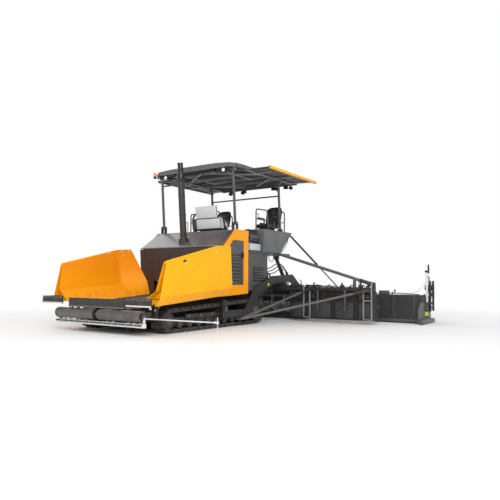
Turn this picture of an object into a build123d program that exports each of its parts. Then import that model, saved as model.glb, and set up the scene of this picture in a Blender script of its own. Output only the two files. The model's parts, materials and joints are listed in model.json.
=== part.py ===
"""Asphalt paver on tracks, with its screed drawn out and its hopper wings open.

Millimetres, +Z up, the floor at Z = 0. The machine's front faces -Y and its left side is +X.
Along Y all places count from the axis of the push rollers, and save() moves every piece by the
same amount, so that the origin is under the middle of the whole machine.
"""
from build123d import *
import math
import os

os.makedirs("parts", exist_ok=True)

# Overall
ARM_OUT = 1275          # half of the transport width, at the tow arms' outer faces
BODY_OUT = 1215         # outer face of the side panels
PLATE = 12              # structural steel plate
SHEET = 5               # hood and console sheet
SEAT_GAP = 0.3          # gap where one piece rests on another
PIN_GAP = 0.3           # gap round a pin
RUN_GAP = 8             # gap beside a moving piece

# Tracks
TRACK_OUT = 1200
TRACK_WIDTH = 305
PAD_T = 42              # rubber pad under a shoe
PAD_PITCH = 176
PAD_SHARE = 0.78        # share of the pitch that a pad fills
BELT_T = 34
IDLER_Y = 735
IDLER_R = 195           # to the belt's outer face
SPROCKET_Y = 3790
SPROCKET_R = 258
ROLLER_R = 78
ROLLER_COUNT = 9
TRACK_BEAM_Z = (130, 290)
TRACK_BEAM_HALF = 62

# Hopper, tilted up towards the rear
TILT = 4.2              # degrees
FLOOR_Z = 505           # floor plate's top at the roller axis
FLOOR_HALF = 838
FLOOR_DEEP = 28         # floor plate's lower face under the hopper's own level
FLOOR_REAR = 4880
GUARD_TOP = 70          # top of the chain guard over the floor
HINGE_X = 872
HINGE_PIN_R = 18
WING_FRONT = 60
WING_FOLD = 1860        # where the corner plate starts
WING_REAR = 2330
WING_PLATE = 12
RIM_OUT = 1530
WALL_Y = WING_REAR + RUN_GAP
WALL_HALF = 1205
WING_KNUCKLES = (180, 760, 1340, 1920)
KNUCKLE_LONG = 70
KNUCKLE_R = 34

# Push rollers
PUSH_Z = 363
PUSH_R = 105
PUSH_IN = 56
PUSH_OUT = 1200
PUSH_SHAFT_R = 30
PUSH_PIVOT_Y = 240
PUSH_PIN_R = 28
NOSE_Y = (300, 340)     # front cross member
NOSE_HALF = 1240

# Tractor body
HOOD_LOW = (2205, 1745)
HOOD_BEND = (2880, 2185)
HOOD_REAR = (3420, 2185)
EXHAUST_Y = 2470
PANEL_T = 25
PANEL_Y = (2352, 3385)
DOOR_GAP = 6
DOOR = dict(y0=2625, y1=3195, z0=925, z1=1945, cut=150)
DECK_Y = (3430, 5360)
DECK_Z = 1690
DECK_T = 40
DECK_HALF = 1225
CONSOLE_TOP = 2300
CONSOLE_Y = (4010, 5420)
CONSOLE_IN = 640
CONSOLE_OUT = 1238

# Roof
POST_X = 1110
POST_R = 32
POST_LEAN = 4.5         # degrees forward
POST_FOOT_Z = 2350
ROOF_Z = 3640           # canopy's lower edge
POST_HEAD_Z = ROOF_Z - 40
POST_FEET = dict(front=2985, rear=5035)
ROOF_EDGE_T = 85
ROOF_CROWN = 65
ROOF_HALF = 1255
ROOF_Y = (2740, 5700)
AWNING_OUT = 1775
AWNING_Y = (3400, 5830)

# Tow arms and screed
TOW_PIN = (2400, 395)
TOW_PIN_R = 40
ARM_T = 48
SCREED_Y = (5620, 6010)
SCREED_HALF = 1500
SCREED_TOP = 640
BASE_WALK_OUT = SCREED_Y[1] + 750    # rear edge of the middle walkway
EXT_Y = (6030, 6520)
EXT_TOP = 690
EXT_IN = 1512
BOLT_ON = 3000          # where the bolt-on section starts
SCREED_OUT = 4500
GATE_T = 30
GUIDE_R = 50
WALK_DEEP = 530
WALK_OUT = EXT_Y[1] + WALK_DEEP     # rear edge of the walkways

# Augers
AUGER_Y = 5345
AUGER_Z = 410
AUGER_R = 225
AUGER_SHAFT_R = 48
AUGER_PITCH = 360
AUGER_IN = 190
AUGER_END = 90          # from the shaft's shoulder to the tunnel's outer edge
BLADE_T = 14
BLADE_FLATS = 14        # flats along a half-turn blade's rim
TUNNEL_Y = 5085
TUNNEL_IN = 1400
TUNNEL_OUT = 3690
AUGER_OUT = TUNNEL_OUT - AUGER_END
TUNNEL_Z = (85, 800)

# Lift cylinders of the screed
LIFT_X = 950
LIFT_TOP = (5100, 1625)
LIFT_FOOT = (5730, 800)
LIFT_BARREL_R = 48
LIFT_ROD_R = 25

# Wing cylinders, in the plane across the machine at CYL_Y
CYL_Y = 400
CYL_FOOT = (790, 170)
CYL_HEAD = (1300, 600)
CYL_BARREL_R = 27
CYL_ROD_R = 15

FLAP_FRONT = -150

# Places and sizes that follow from these, or that one piece alone uses
IDLER_Z = PAD_T + IDLER_R
SPROCKET_Z = PAD_T + SPROCKET_R
CHASSIS_OUT = 700
CHASSIS_Z = 140
CHASSIS_REAR = 4260
TIE_EYE = (320, 468)     # place along the machine and height of the tie-down eye
TIE_EYE_R = 24
TIE_LUG_T = 24
# Columns: place along the hopper, floor edge, fold, rim, lower edge of the skin, lip
WING_TABLE = (
    (WING_FRONT - 120, (918, 6), (1385, 310), (1451, 775), (RIM_OUT, 175), (1430, 40)),
    (WING_FOLD, (918, 6), (1385, 310), (1495, 1085), (RIM_OUT, 175), (1430, 40)),
    (WING_REAR, (918, 6), (1000, 330), (1495, 1085), (RIM_OUT, 175), (1430, 40)),
)
APRON_HALF = 800
APRON_Y = -70
APRON_Z = 520
APRON_EARS = (-560, 0, 560)
PUSH_BEAM_Y = (125, 200)
BAR_Z = (160, 232)
BAR_HANGERS = (-1150, -640, 640, 1150)
GUIDE_OUT = 2910
CYL_BARREL_LONG = 430
HOOD_HALF = BODY_OUT - PANEL_T - SEAT_GAP
DOOR_BLADES = 8
DOOR_HINGE = (BODY_OUT + 12, DOOR["y0"] - 12)
TANK_IN = FLOOR_HALF + 12
TANK_OUT = BODY_OUT - 15
POST_IN = FLOOR_HALF + 8
POST_OUT = FLOOR_HALF + 46
BODY_POSTS = (2405, 3300)
BODY_POST_TOP = 1600
ENGINE_Z = (1060, 1850)
ENGINE_HALF = 450
SEAT_X = 840
RAIL_X = 1050
OPEN_PIN_GAP = 6
ROOF_WALL = 8
ROOF_RIB_PITCH = 550
ROOF_CHAMFER = (150, 235)
HANGER_Y = 4188
AUGER_BEAM_Z = (790, 900)
TUNNEL_RIBS = (TUNNEL_IN + 20, TUNNEL_IN + 400, TUNNEL_IN + 480, TUNNEL_OUT - 1130, TUNNEL_OUT - 1050,
               TUNNEL_OUT - 530, TUNNEL_OUT - 450)
# Columns: name, start, end, radius
BRACES = (
    ("upper", (1200, 4830, 1712), (TUNNEL_OUT - 30, 5060, 940), 38),
    ("strut", (1210, 5370, 2240), (2780, 5050, 840), 16),
    ("low inner", (1318, 2948, 160), (1950, 5050, 810), 27),
    ("low outer", (1322, 3012, 160), (TUNNEL_OUT - 130, 5050, 810), 27),
)
GUIDE_Y = 6100
GUIDE_Z = dict(left=300, right=480)
GUIDE_END = 190
LIFT_BARREL_LONG = 600
MID_Y = (FLAP_FRONT + WALK_OUT) / 2


def save(name, shape):
    """Write one node, moved so that the origin is under the machine's middle."""
    moved = [Pos(0, -MID_Y, 0) * solid for solid in shape.solids()]
    export_step(moved[0] if len(moved) == 1 else Compound(moved), f"parts/{name}.step")


def block(x0, x1, y0, y1, z0, z1):
    """A block between two places on each axis."""
    return Pos((x0 + x1) / 2, (y0 + y1) / 2, (z0 + z1) / 2) * Box(x1 - x0, y1 - y0, z1 - z0)


def side_plate(points, x0, x1):
    """An outline of (y, z) points, thick from x0 to x1."""
    face = make_face(Polyline(*points, close=True))
    return extrude(Plane.YZ.offset(x0) * face, x1 - x0)


def cross_plate(points, y0, y1):
    """An outline of (x, z) points, thick from y0 to y1."""
    face = make_face(Polyline(*points, close=True))
    return extrude(Plane.XZ.offset(-y0) * face, y0 - y1)


def flat_plate(points, z0, z1):
    """An outline of (x, y) points, thick from z0 to z1."""
    face = make_face(Polyline(*points, close=True))
    return extrude(Plane.XY.offset(z0) * face, z1 - z0)


def rod(start, end, radius):
    """A round bar from one point to another."""
    a = Vector(*start)
    b = Vector(*end)
    way = b - a
    round_bar = Cylinder(radius, way.length, align=(Align.CENTER, Align.CENTER, Align.MIN))
    return Plane(origin=a, z_dir=way) * round_bar


def bar(start, end, radius, sides=12):
    """A bar of many flats from one point to another, for tubes that nothing turns on."""
    a = Vector(*start)
    b = Vector(*end)
    way = b - a
    return extrude(Plane(origin=a, z_dir=way) * RegularPolygon(radius, sides), way.length)


def pipe(points, radius, bend):
    """A tube of eight flats along a route whose corners are cut in two steps."""
    route = [Vector(*points[0])]
    for before, corner, after in zip(points, points[1:], points[2:]):
        corner = Vector(*corner)
        first = corner + (Vector(*before) - corner).normalized() * bend
        last = corner + (Vector(*after) - corner).normalized() * bend
        route += [first, corner + ((first + last) / 2 - corner) * 0.55, last]
    route.append(Vector(*points[-1]))
    start = Plane(origin=route[0], z_dir=route[1] - route[0])
    return sweep(start * RegularPolygon(radius, 8), path=Polyline(*route), transition=Transition.RIGHT)


def along(foot, step):
    """A function from a distance to the point that far from a foot in the step's direction."""
    return lambda d: tuple(f + d * s for f, s in zip(foot, step))


def across(shape):
    """The same piece on the machine's other side."""
    return mirror(shape, about=Plane.YZ)


def pair(shape):
    """A left piece and its mirror image, as one node of two solids."""
    return Compound([*shape.solids(), *across(shape).solids()])


def joined(shapes):
    """Several shapes fused into one."""
    first, *rest = shapes
    return first.fuse(*rest) if rest else first


def tilted(shape):
    """A piece of the hopper, from its own level frame into its place on the machine."""
    return Pos(0, 0, FLOOR_Z) * Rot(X=TILT) * shape


def on_floor(y, z=0):
    """The (y, z) place on the machine of a point in the hopper's own frame."""
    turn = math.radians(TILT)
    return (y * math.cos(turn) - z * math.sin(turn), FLOOR_Z + y * math.sin(turn) + z * math.cos(turn))


# Tracks
def belt_point(wheel_y, wheel_z, radius, angle):
    """A point at an angle round a wheel, in the plane of the track."""
    return (wheel_y + radius * math.cos(angle), wheel_z + radius * math.sin(angle))


def belt_frames():
    """Length of the belt, and a function from a length to its point and outward normal."""
    dy = SPROCKET_Y - IDLER_Y
    dz = SPROCKET_Z - IDLER_Z
    reach = math.hypot(dy, dz)
    slope = math.atan2(dz, dy)
    lean = math.asin((SPROCKET_R - IDLER_R) / reach)
    top_angle = math.pi / 2 + slope + lean
    straight = math.sqrt(reach ** 2 - (SPROCKET_R - IDLER_R) ** 2)
    rear_turn = top_angle + math.pi / 2
    front_turn = 3 * math.pi / 2 - top_angle
    low = SPROCKET_Y - IDLER_Y
    spans = [low, SPROCKET_R * rear_turn, straight, IDLER_R * front_turn]

    def at(s):
        s = s % sum(spans)
        if s < spans[0]:
            return (IDLER_Y + s, PAD_T), (0.0, -1.0)
        s -= spans[0]
        if s < spans[1]:
            a = -math.pi / 2 + s / SPROCKET_R
            n = (math.cos(a), math.sin(a))
            return (SPROCKET_Y + SPROCKET_R * n[0], SPROCKET_Z + SPROCKET_R * n[1]), n
        s -= spans[1]
        if s < spans[2]:
            n = (math.cos(top_angle), math.sin(top_angle))
            t = s / spans[2]
            start = (SPROCKET_Y + SPROCKET_R * n[0], SPROCKET_Z + SPROCKET_R * n[1])
            end = (IDLER_Y + IDLER_R * n[0], IDLER_Z + IDLER_R * n[1])
            return (start[0] + t * (end[0] - start[0]), start[1] + t * (end[1] - start[1])), n
        s -= spans[2]
        a = top_angle + s / IDLER_R
        n = (math.cos(a), math.sin(a))
        return (IDLER_Y + IDLER_R * n[0], IDLER_Z + IDLER_R * n[1]), n

    return sum(spans), at


def wheel_loop(offset, steps=14):
    """The belt's line moved by an offset, as points round the two wheels."""
    dy = SPROCKET_Y - IDLER_Y
    dz = SPROCKET_Z - IDLER_Z
    lean = math.asin((SPROCKET_R - IDLER_R) / math.hypot(dy, dz))
    top = math.pi / 2 + math.atan2(dz, dy) + lean
    points = []
    for wheel_y, wheel_z, radius, start, end in (
        (SPROCKET_Y, SPROCKET_Z, SPROCKET_R, -math.pi / 2, top),
        (IDLER_Y, IDLER_Z, IDLER_R, top, 3 * math.pi / 2),
    ):
        for i in range(steps + 1):
            a = start + (end - start) * i / steps
            points.append(belt_point(wheel_y, wheel_z, radius + offset, a))
    return points


def track():
    """The left track: the belt and its shoes' rubber pads in one outline."""
    length, at = belt_frames()
    count = round(length / PAD_PITCH)
    pitch = length / count
    outline = []
    for i in range(count):
        s0 = (i + 0.11) * pitch
        s1 = s0 + PAD_SHARE * pitch
        (p0, n0), (p1, n1) = at(s0), at(s1)
        outline += [
            p0,
            (p0[0] + PAD_T * n0[0], p0[1] + PAD_T * n0[1]),
            (p1[0] + PAD_T * n1[0], p1[1] + PAD_T * n1[1]),
            p1,
        ]
    x0 = TRACK_OUT - TRACK_WIDTH
    return side_plate(outline, x0, TRACK_OUT) - side_plate(wheel_loop(-BELT_T), x0 - 1, TRACK_OUT + 1)


def track_frame():
    """The left track's beam with its wheels, seated inside the belt."""
    x0 = TRACK_OUT - TRACK_WIDTH + 45
    x1 = TRACK_OUT - 45
    mid = (x0 + x1) / 2
    half_step = math.cos(math.pi / 14 / 2 * 1.3)
    idler = (IDLER_R - BELT_T) * half_step - SEAT_GAP
    sprocket = (SPROCKET_R - BELT_T) * half_step - SEAT_GAP
    low = PAD_T + BELT_T
    z0, z1 = TRACK_BEAM_Z
    outline = [(IDLER_Y + 20, z0), (SPROCKET_Y - 40, z0), (SPROCKET_Y + 30, z0 + 60),
               (SPROCKET_Y + 30, z1 + 60), (SPROCKET_Y - 420, z1), (IDLER_Y + 60, z1)]
    pieces = [side_plate(outline, mid - TRACK_BEAM_HALF, mid + TRACK_BEAM_HALF)]
    wheels = [(IDLER_Y, IDLER_Z, idler), (SPROCKET_Y, SPROCKET_Z, sprocket)]
    first = IDLER_Y + 330
    last = SPROCKET_Y - 360
    for i in range(ROLLER_COUNT):
        y = first + (last - first) * i / (ROLLER_COUNT - 1)
        wheels.append((y, low + SEAT_GAP + ROLLER_R, ROLLER_R))
    for y, z, radius in wheels:
        pieces.append(bar((x0, y, z), (x1, y, z), radius, 24))
    for y in (IDLER_Y + 700, SPROCKET_Y - 700):
        pieces.append(block(CHASSIS_OUT + SEAT_GAP, mid, y - 90, y + 90, 165, 275))
    return joined(pieces)


# Chassis
def chassis_frame():
    """Side plates, cross members and the nose that carries the push beam and wing cylinders."""
    front_top = on_floor(360, -FLOOR_DEEP - SEAT_GAP)
    rear_top = on_floor(CHASSIS_REAR, -FLOOR_DEEP - SEAT_GAP)
    outline = [(NOSE_Y[0], CHASSIS_Z + 90), (560, CHASSIS_Z), (3900, CHASSIS_Z), (CHASSIS_REAR, CHASSIS_Z + 170),
               rear_top, front_top, (NOSE_Y[0], front_top[1] - 6)]
    side = side_plate(outline, CHASSIS_OUT - 40, CHASSIS_OUT)
    pieces = [side, across(side)]
    pieces.append(block(-NOSE_HALF, NOSE_HALF, NOSE_Y[0], NOSE_Y[1], 300, 430))
    for y in (1000, 2000, 3000, 3900):
        pieces.append(block(-CHASSIS_OUT + 20, CHASSIS_OUT - 20, y, y + 160, CHASSIS_Z + 10, CHASSIS_Z + 150))
    pieces.append(block(-CHASSIS_OUT + 20, CHASSIS_OUT - 20, 560, 3900, CHASSIS_Z, CHASSIS_Z + PLATE))
    for z0 in (PUSH_Z - 60, PUSH_Z + 40):
        ear = block(-60, 60, PUSH_PIVOT_Y, NOSE_Y[0] + 10, z0, z0 + 20)
        pieces.append(ear + bar((0, PUSH_PIVOT_Y, z0), (0, PUSH_PIVOT_Y, z0 + 20), PUSH_PIN_R + 8))
    pieces.append(rod((0, PUSH_PIVOT_Y, PUSH_Z - 60), (0, PUSH_PIVOT_Y, PUSH_Z + 60), PUSH_PIN_R))
    for sign in (-1, 1):
        foot_x = sign * CYL_FOOT[0]
        for y0 in (CYL_Y - 48, CYL_Y + 32):
            span = sorted((foot_x, sign * (CHASSIS_OUT - 40)))
            ear = block(*span, y0, y0 + 16, CYL_FOOT[1] - 30, CYL_FOOT[1] + 30)
            pieces.append(ear + bar((foot_x, y0, CYL_FOOT[1]), (foot_x, y0 + 16, CYL_FOOT[1]), 34))
        pieces.append(rod((foot_x, CYL_Y - 48, CYL_FOOT[1]), (foot_x, CYL_Y + 48, CYL_FOOT[1]), 14))
        y, z = TIE_EYE
        lug_x = sorted((sign * (NOSE_HALF - TIE_LUG_T), sign * NOSE_HALF))
        outline = [(y - 40, 420), (y + 40, 420), (y + 40, z + 34), (y + 22, z + 50), (y - 22, z + 50), (y - 40, z + 34)]
        lug = side_plate(outline, *lug_x)
        pieces.append(lug - rod((lug_x[0] - 1, y, z), (lug_x[1] + 1, y, z), TIE_EYE_R))
    return joined(pieces)


# Hopper
def hopper_floor():
    """Conveyor floor from the nose to the augers, with the chain guard and the wings' pins."""
    pieces = [block(-FLOOR_HALF, FLOOR_HALF, 40, FLOOR_REAR, -28, -PLATE)]
    pieces.append(cross_plate([(-60, -PLATE), (60, -PLATE), (18, GUARD_TOP), (-18, GUARD_TOP)], 60, FLOOR_REAR))
    for sign in (-1, 1):
        edge = sorted((sign * (FLOOR_HALF - 20), sign * FLOOR_HALF))
        pieces.append(block(*edge, 40, FLOOR_REAR, -PLATE, 22))
        pieces.append(rod((sign * HINGE_X, WING_KNUCKLES[0] - 60, 0),
                          (sign * HINGE_X, WING_KNUCKLES[-1] + KNUCKLE_LONG + 60, 0), HINGE_PIN_R))
        for y in WING_KNUCKLES:
            for y0 in (y - 40, y + KNUCKLE_LONG + 10):
                reach = sorted((sign * (FLOOR_HALF - 10), sign * HINGE_X))
                pieces.append(block(*reach, y0, y0 + 30, -28, 20))
                pieces.append(bar((sign * HINGE_X, y0, 0), (sign * HINGE_X, y0 + 30, 0), KNUCKLE_R - 4))
        for i in range(23):
            y = 150 + i * 200
            flight = sorted((sign * 90, sign * 800))
            pieces.append(block(*flight, y, y + 26, -PLATE, 8))
    return tilted(joined(pieces))


def hopper_rear_wall():
    """Sloped wall behind the hopper with the two conveyor mouths."""
    half = WALL_HALF
    outline = [(-half, 190), (300 - half, 40), (half - 300, 40), (half, 190), (half, 1085), (-half, 1085)]
    wall = cross_plate(outline, WALL_Y, WALL_Y + PLATE)
    mouths = [block(*sorted((s * 80, s * 790)), WALL_Y - 5, WALL_Y + 40, 20, 330) for s in (-1, 1)]
    wide = FLOOR_HALF + SEAT_GAP
    mouths.append(block(-wide, wide, WALL_Y - 5, WALL_Y + 40, 20, GUARD_TOP + SEAT_GAP))
    for mouth in mouths:
        wall -= mouth
    flange = block(-half, half, WALL_Y, WALL_Y + 90, 1073, 1085)
    return tilted(wall + flange)


def wing_section(y, floor, fold, rim, skin_low, lip):
    """Outline of a wing across the machine: sloped floor, side, rim and outer skin."""
    t = WING_PLATE
    (along, up), _ = unit_between(fold, rim)
    out = (up * t, -along * t)
    return [
        (floor[0], floor[1]), (fold[0], fold[1]), (rim[0], rim[1]), (RIM_OUT, rim[1]),
        (skin_low[0], skin_low[1]), (lip[0], lip[1]),
        (lip[0] - 6, lip[1] + t), (skin_low[0] - t, skin_low[1] + 8), (RIM_OUT - t, rim[1] - 24),
        (rim[0] + out[0] - 24 * along, rim[1] + out[1] - 24 * up), (fold[0] + out[0], fold[1] + out[1]),
        (floor[0], floor[1] - t),
    ]


def section_face(points, y):
    """A closed outline of (x, z) points at one place along the machine."""
    return make_face(Polyline(*[(x, y, z) for x, z in points], close=True))


def hopper_wing():
    """The left wing: one folded shell, its front edge leaning back, on four knuckles."""
    faces = [section_face(wing_section(*row), row[0]) for row in WING_TABLE]
    shell = joined([loft([faces[0], faces[1]], ruled=True), loft([faces[1], faces[2]], ruled=True)])
    lean = math.tan(math.radians(17))
    front = [(-400, -200), (WING_FRONT - 200 * lean, -200), (WING_FRONT + 1300 * lean, 1300), (-400, 1300)]
    pieces = [shell - side_plate(front, 0, 2000)]
    for y in WING_KNUCKLES:
        pieces.append(bar((HINGE_X, y, 0), (HINGE_X, y + KNUCKLE_LONG, 0), KNUCKLE_R))
        pieces.append(block(HINGE_X, HINGE_X + 68, y, y + KNUCKLE_LONG, -8, 6))
    for y in (260, 1100, 1800):
        rib = cross_plate([(1000, 50), (1380, 285), (1500, 300), (1500, 190), (1440, 60)], y, y + 10)
        pieces.append(rib)
    # The lug for the cylinder's eye hangs from the floor plate
    lug_y = CYL_Y + 60
    lug = cross_plate([(1180, 172), (1372, 292), (1340, 40), (1270, 40)], lug_y, lug_y + 14)
    pieces.append(lug)
    wing = joined(pieces)
    for y in WING_KNUCKLES:
        wing -= rod((HINGE_X, y - 1, 0), (HINGE_X, y + KNUCKLE_LONG + 1, 0), HINGE_PIN_R + PIN_GAP)
    return tilted(wing)


def wing_flap():
    """The rubber flap on the left wing's front edge, on a strap that meets the wing."""
    low = on_floor(0)[1] + 40
    flap = cross_plate([(905, low), (1560, low), (1545, low + 150), (905, low + 150)], FLAP_FRONT, FLAP_FRONT + 22)
    strap = block(1410, 1506, FLAP_FRONT + 20, WING_FRONT + 110, low + 150 - 12, low + 150)
    return flap + strap - hopper_wing()


def front_apron():
    """The steel apron between the two wings' floors, with its hinge tube."""
    y0 = APRON_Y
    plate = block(-APRON_HALF, APRON_HALF, y0, y0 + PLATE, APRON_Z, APRON_Z + 150)
    lip = block(-APRON_HALF, APRON_HALF, y0 - 22, y0 + PLATE, APRON_Z - PLATE, APRON_Z)
    tube = bar((-APRON_HALF, y0 + 24, APRON_Z), (APRON_HALF, y0 + 24, APRON_Z), 21)
    bore = rod((-APRON_HALF - 1, y0 + 24, APRON_Z), (APRON_HALF + 1, y0 + 24, APRON_Z), 12 + PIN_GAP)
    notch = [block(x - 18, x + 18, y0 + 1, y0 + 60, APRON_Z - 40, APRON_Z + 40) for x in APRON_EARS]
    shape = plate + lip + tube - bore
    for n in notch:
        shape -= n
    return shape


def apron_ears():
    """The apron's hinge pin and its three ears, on the floor's front edge."""
    y = APRON_Y + 24
    pieces = [rod((-APRON_HALF, y, APRON_Z), (APRON_HALF, y, APRON_Z), 12)]
    for x in APRON_EARS:
        ear = block(x - 12, x + 12, y + 4, 80, APRON_Z - 34, APRON_Z - 16)
        ear += bar((x - 12, y, APRON_Z), (x + 12, y, APRON_Z), 19)
        ear += block(x - 12, x + 12, y + 4, y + 14, APRON_Z - 34, APRON_Z)
        pieces.append(ear)
    return pieces


# Push beam
def push_beam():
    """The swinging beam with the brackets that hold the two push rollers."""
    pieces = [block(-1215, 1215, *PUSH_BEAM_Y, PUSH_Z - 75, PUSH_Z + 75)]
    pieces.append(bar((0, PUSH_PIVOT_Y, PUSH_Z - 38), (0, PUSH_PIVOT_Y, PUSH_Z + 38), 54, 20))
    pieces.append(block(-60, 60, PUSH_BEAM_Y[1] - 5, PUSH_PIVOT_Y, PUSH_Z - 38, PUSH_Z + 38))
    face = PUSH_BEAM_Y[0] + 5
    arm = [(-55, PUSH_Z - 45), (face, PUSH_Z - 75), (face, PUSH_Z + 75), (-55, PUSH_Z + 45)]
    for x0, x1 in ((-PUSH_OUT - 26, -PUSH_OUT - 6), (-PUSH_IN + 6, PUSH_IN - 6), (PUSH_OUT + 6, PUSH_OUT + 26)):
        pieces.append(side_plate(arm, x0, x1))
    top = BAR_Z[1]
    hanger = [(-30, top + SEAT_GAP), (30, top + SEAT_GAP), (face, PUSH_Z - 84), (face, PUSH_Z - 60),
              (100, PUSH_Z - 84), (-20, top + 8)]
    for x in BAR_HANGERS:
        pieces.append(side_plate(hanger, x - 8, x + 8))
    beam = joined(pieces)
    beam -= Pos(0, PUSH_PIVOT_Y, PUSH_Z) * Cylinder(PUSH_PIN_R + PIN_GAP, 200)
    for x0, x1 in ((-PUSH_OUT - 30, -PUSH_OUT), (-PUSH_IN, PUSH_IN), (PUSH_OUT, PUSH_OUT + 30)):
        beam -= rod((x0, 0, PUSH_Z), (x1, 0, PUSH_Z), PUSH_SHAFT_R + PIN_GAP)
    return beam


def push_bar():
    """The painted bar under the rollers."""
    outline = [(-45, BAR_Z[0] + 12), (-30, BAR_Z[0]), (45, BAR_Z[0]), (45, BAR_Z[1]), (-45, BAR_Z[1])]
    return side_plate(outline, -1250, 1250)


def push_roller():
    """The left push roller, a capped tube on its shaft."""
    roller = rod((PUSH_IN + 4, 0, PUSH_Z), (PUSH_OUT, 0, PUSH_Z), PUSH_R)
    for x0, x1 in ((PUSH_IN + 3, PUSH_IN + 12), (PUSH_OUT - 8, PUSH_OUT + 1)):
        roller -= rod((x0, 0, PUSH_Z), (x1, 0, PUSH_Z), PUSH_R - 14)
    return roller + rod((10, 0, PUSH_Z), (PUSH_OUT + 24, 0, PUSH_Z), PUSH_SHAFT_R)


def steering_guide():
    """The sighting rod that reaches out at the left of the push bar, with its drop rod."""
    post = block(1229, 1249, -20, 20, BAR_Z[1] + SEAT_GAP, 340)
    arm = bar((1236, 0, 332), (GUIDE_OUT, 0, 345), 11, 8)
    drop = bar((GUIDE_OUT - 12, 0, 30), (GUIDE_OUT - 12, 0, 430), 6)
    clamp = block(GUIDE_OUT - 30, GUIDE_OUT + 2, -18, 18, 325, 365)
    return post + arm + drop + clamp


# Wing cylinders
def unit_between(foot, head):
    """Direction and distance from one (a, b) point to another."""
    da, db = head[0] - foot[0], head[1] - foot[1]
    size = math.hypot(da, db)
    return (da / size, db / size), size


def wing_barrel():
    """The left wing cylinder's barrel with the eye at its foot."""
    way, reach = unit_between(CYL_FOOT, CYL_HEAD)
    at = along((CYL_FOOT[0], CYL_Y, CYL_FOOT[1]), (way[0], 0, way[1]))
    barrel = rod(at(30), at(CYL_BARREL_LONG), CYL_BARREL_R)
    eye = rod((CYL_FOOT[0], CYL_Y - 26, CYL_FOOT[1]), (CYL_FOOT[0], CYL_Y + 26, CYL_FOOT[1]), 32)
    bore = rod((CYL_FOOT[0], CYL_Y - 60, CYL_FOOT[1]), (CYL_FOOT[0], CYL_Y + 60, CYL_FOOT[1]), 14 + PIN_GAP)
    return barrel + eye - bore - rod(at(120), at(reach), CYL_ROD_R + PIN_GAP)


def wing_rod():
    """The left wing cylinder's rod with its eye."""
    way, reach = unit_between(CYL_FOOT, CYL_HEAD)
    at = along((CYL_FOOT[0], CYL_Y, CYL_FOOT[1]), (way[0], 0, way[1]))
    head_x, head_z = CYL_HEAD
    eye = rod((head_x, CYL_Y - 20, head_z), (head_x, CYL_Y + 20, head_z), 28)
    return rod(at(CYL_BARREL_LONG - 200), at(reach), CYL_ROD_R) + eye


# Tractor body
def hood_outline(inset):
    """The hood's outline along the machine, moved inwards by an inset."""
    return [(HOOD_LOW[0] + inset, HOOD_LOW[1] - 120), (HOOD_LOW[0] + inset, HOOD_LOW[1] - inset),
            (HOOD_BEND[0] + inset / 3, HOOD_BEND[1] - inset), (HOOD_REAR[0] - inset, HOOD_REAR[1] - inset),
            (HOOD_REAR[0] - inset, HOOD_LOW[1] - 120)]


def engine_hood():
    """Hood shell from the hopper's rear wall to the platform, open underneath."""
    shell = side_plate(hood_outline(0), -HOOD_HALF, HOOD_HALF)
    shell -= side_plate(hood_outline(SHEET), -HOOD_HALF + SHEET, HOOD_HALF - SHEET)
    shell -= block(-HOOD_HALF - 1, HOOD_HALF + 1, HOOD_LOW[0] - 20, HOOD_REAR[0] + 20, 1500, HOOD_LOW[1] - 119)
    shell -= tilted(block(-1300, 1300, WALL_Y - 400, WALL_Y + 100, 900, 1092))
    return shell - tilted(block(-1300, 1300, WALL_Y - 400, WALL_Y, 1000, 1500))


def side_panel():
    """The left side panel, with the opening for the grille door and its lower return."""
    y0, y1 = PANEL_Y
    outline = [(y0, 672), (y0, 1730), (HOOD_BEND[0] - 20, HOOD_BEND[1] + 12), (y1, HOOD_BEND[1] + 10), (y1, 722)]
    panel = side_plate(outline, BODY_OUT - PANEL_T, BODY_OUT)
    door = DOOR
    opening = [(door["y0"], door["z0"]), (door["y1"], door["z0"]), (door["y1"], door["z1"]),
               (door["y0"] + door["cut"], door["z1"]), (door["y0"], door["z1"] - door["cut"])]
    panel -= side_plate(opening, BODY_OUT - PANEL_T - 1, BODY_OUT + 1)
    lower_return = [(y0, 672), (y1, 722), (y1, 742), (y0, 692)]
    return panel + side_plate(lower_return, BODY_OUT - 160, BODY_OUT)


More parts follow.
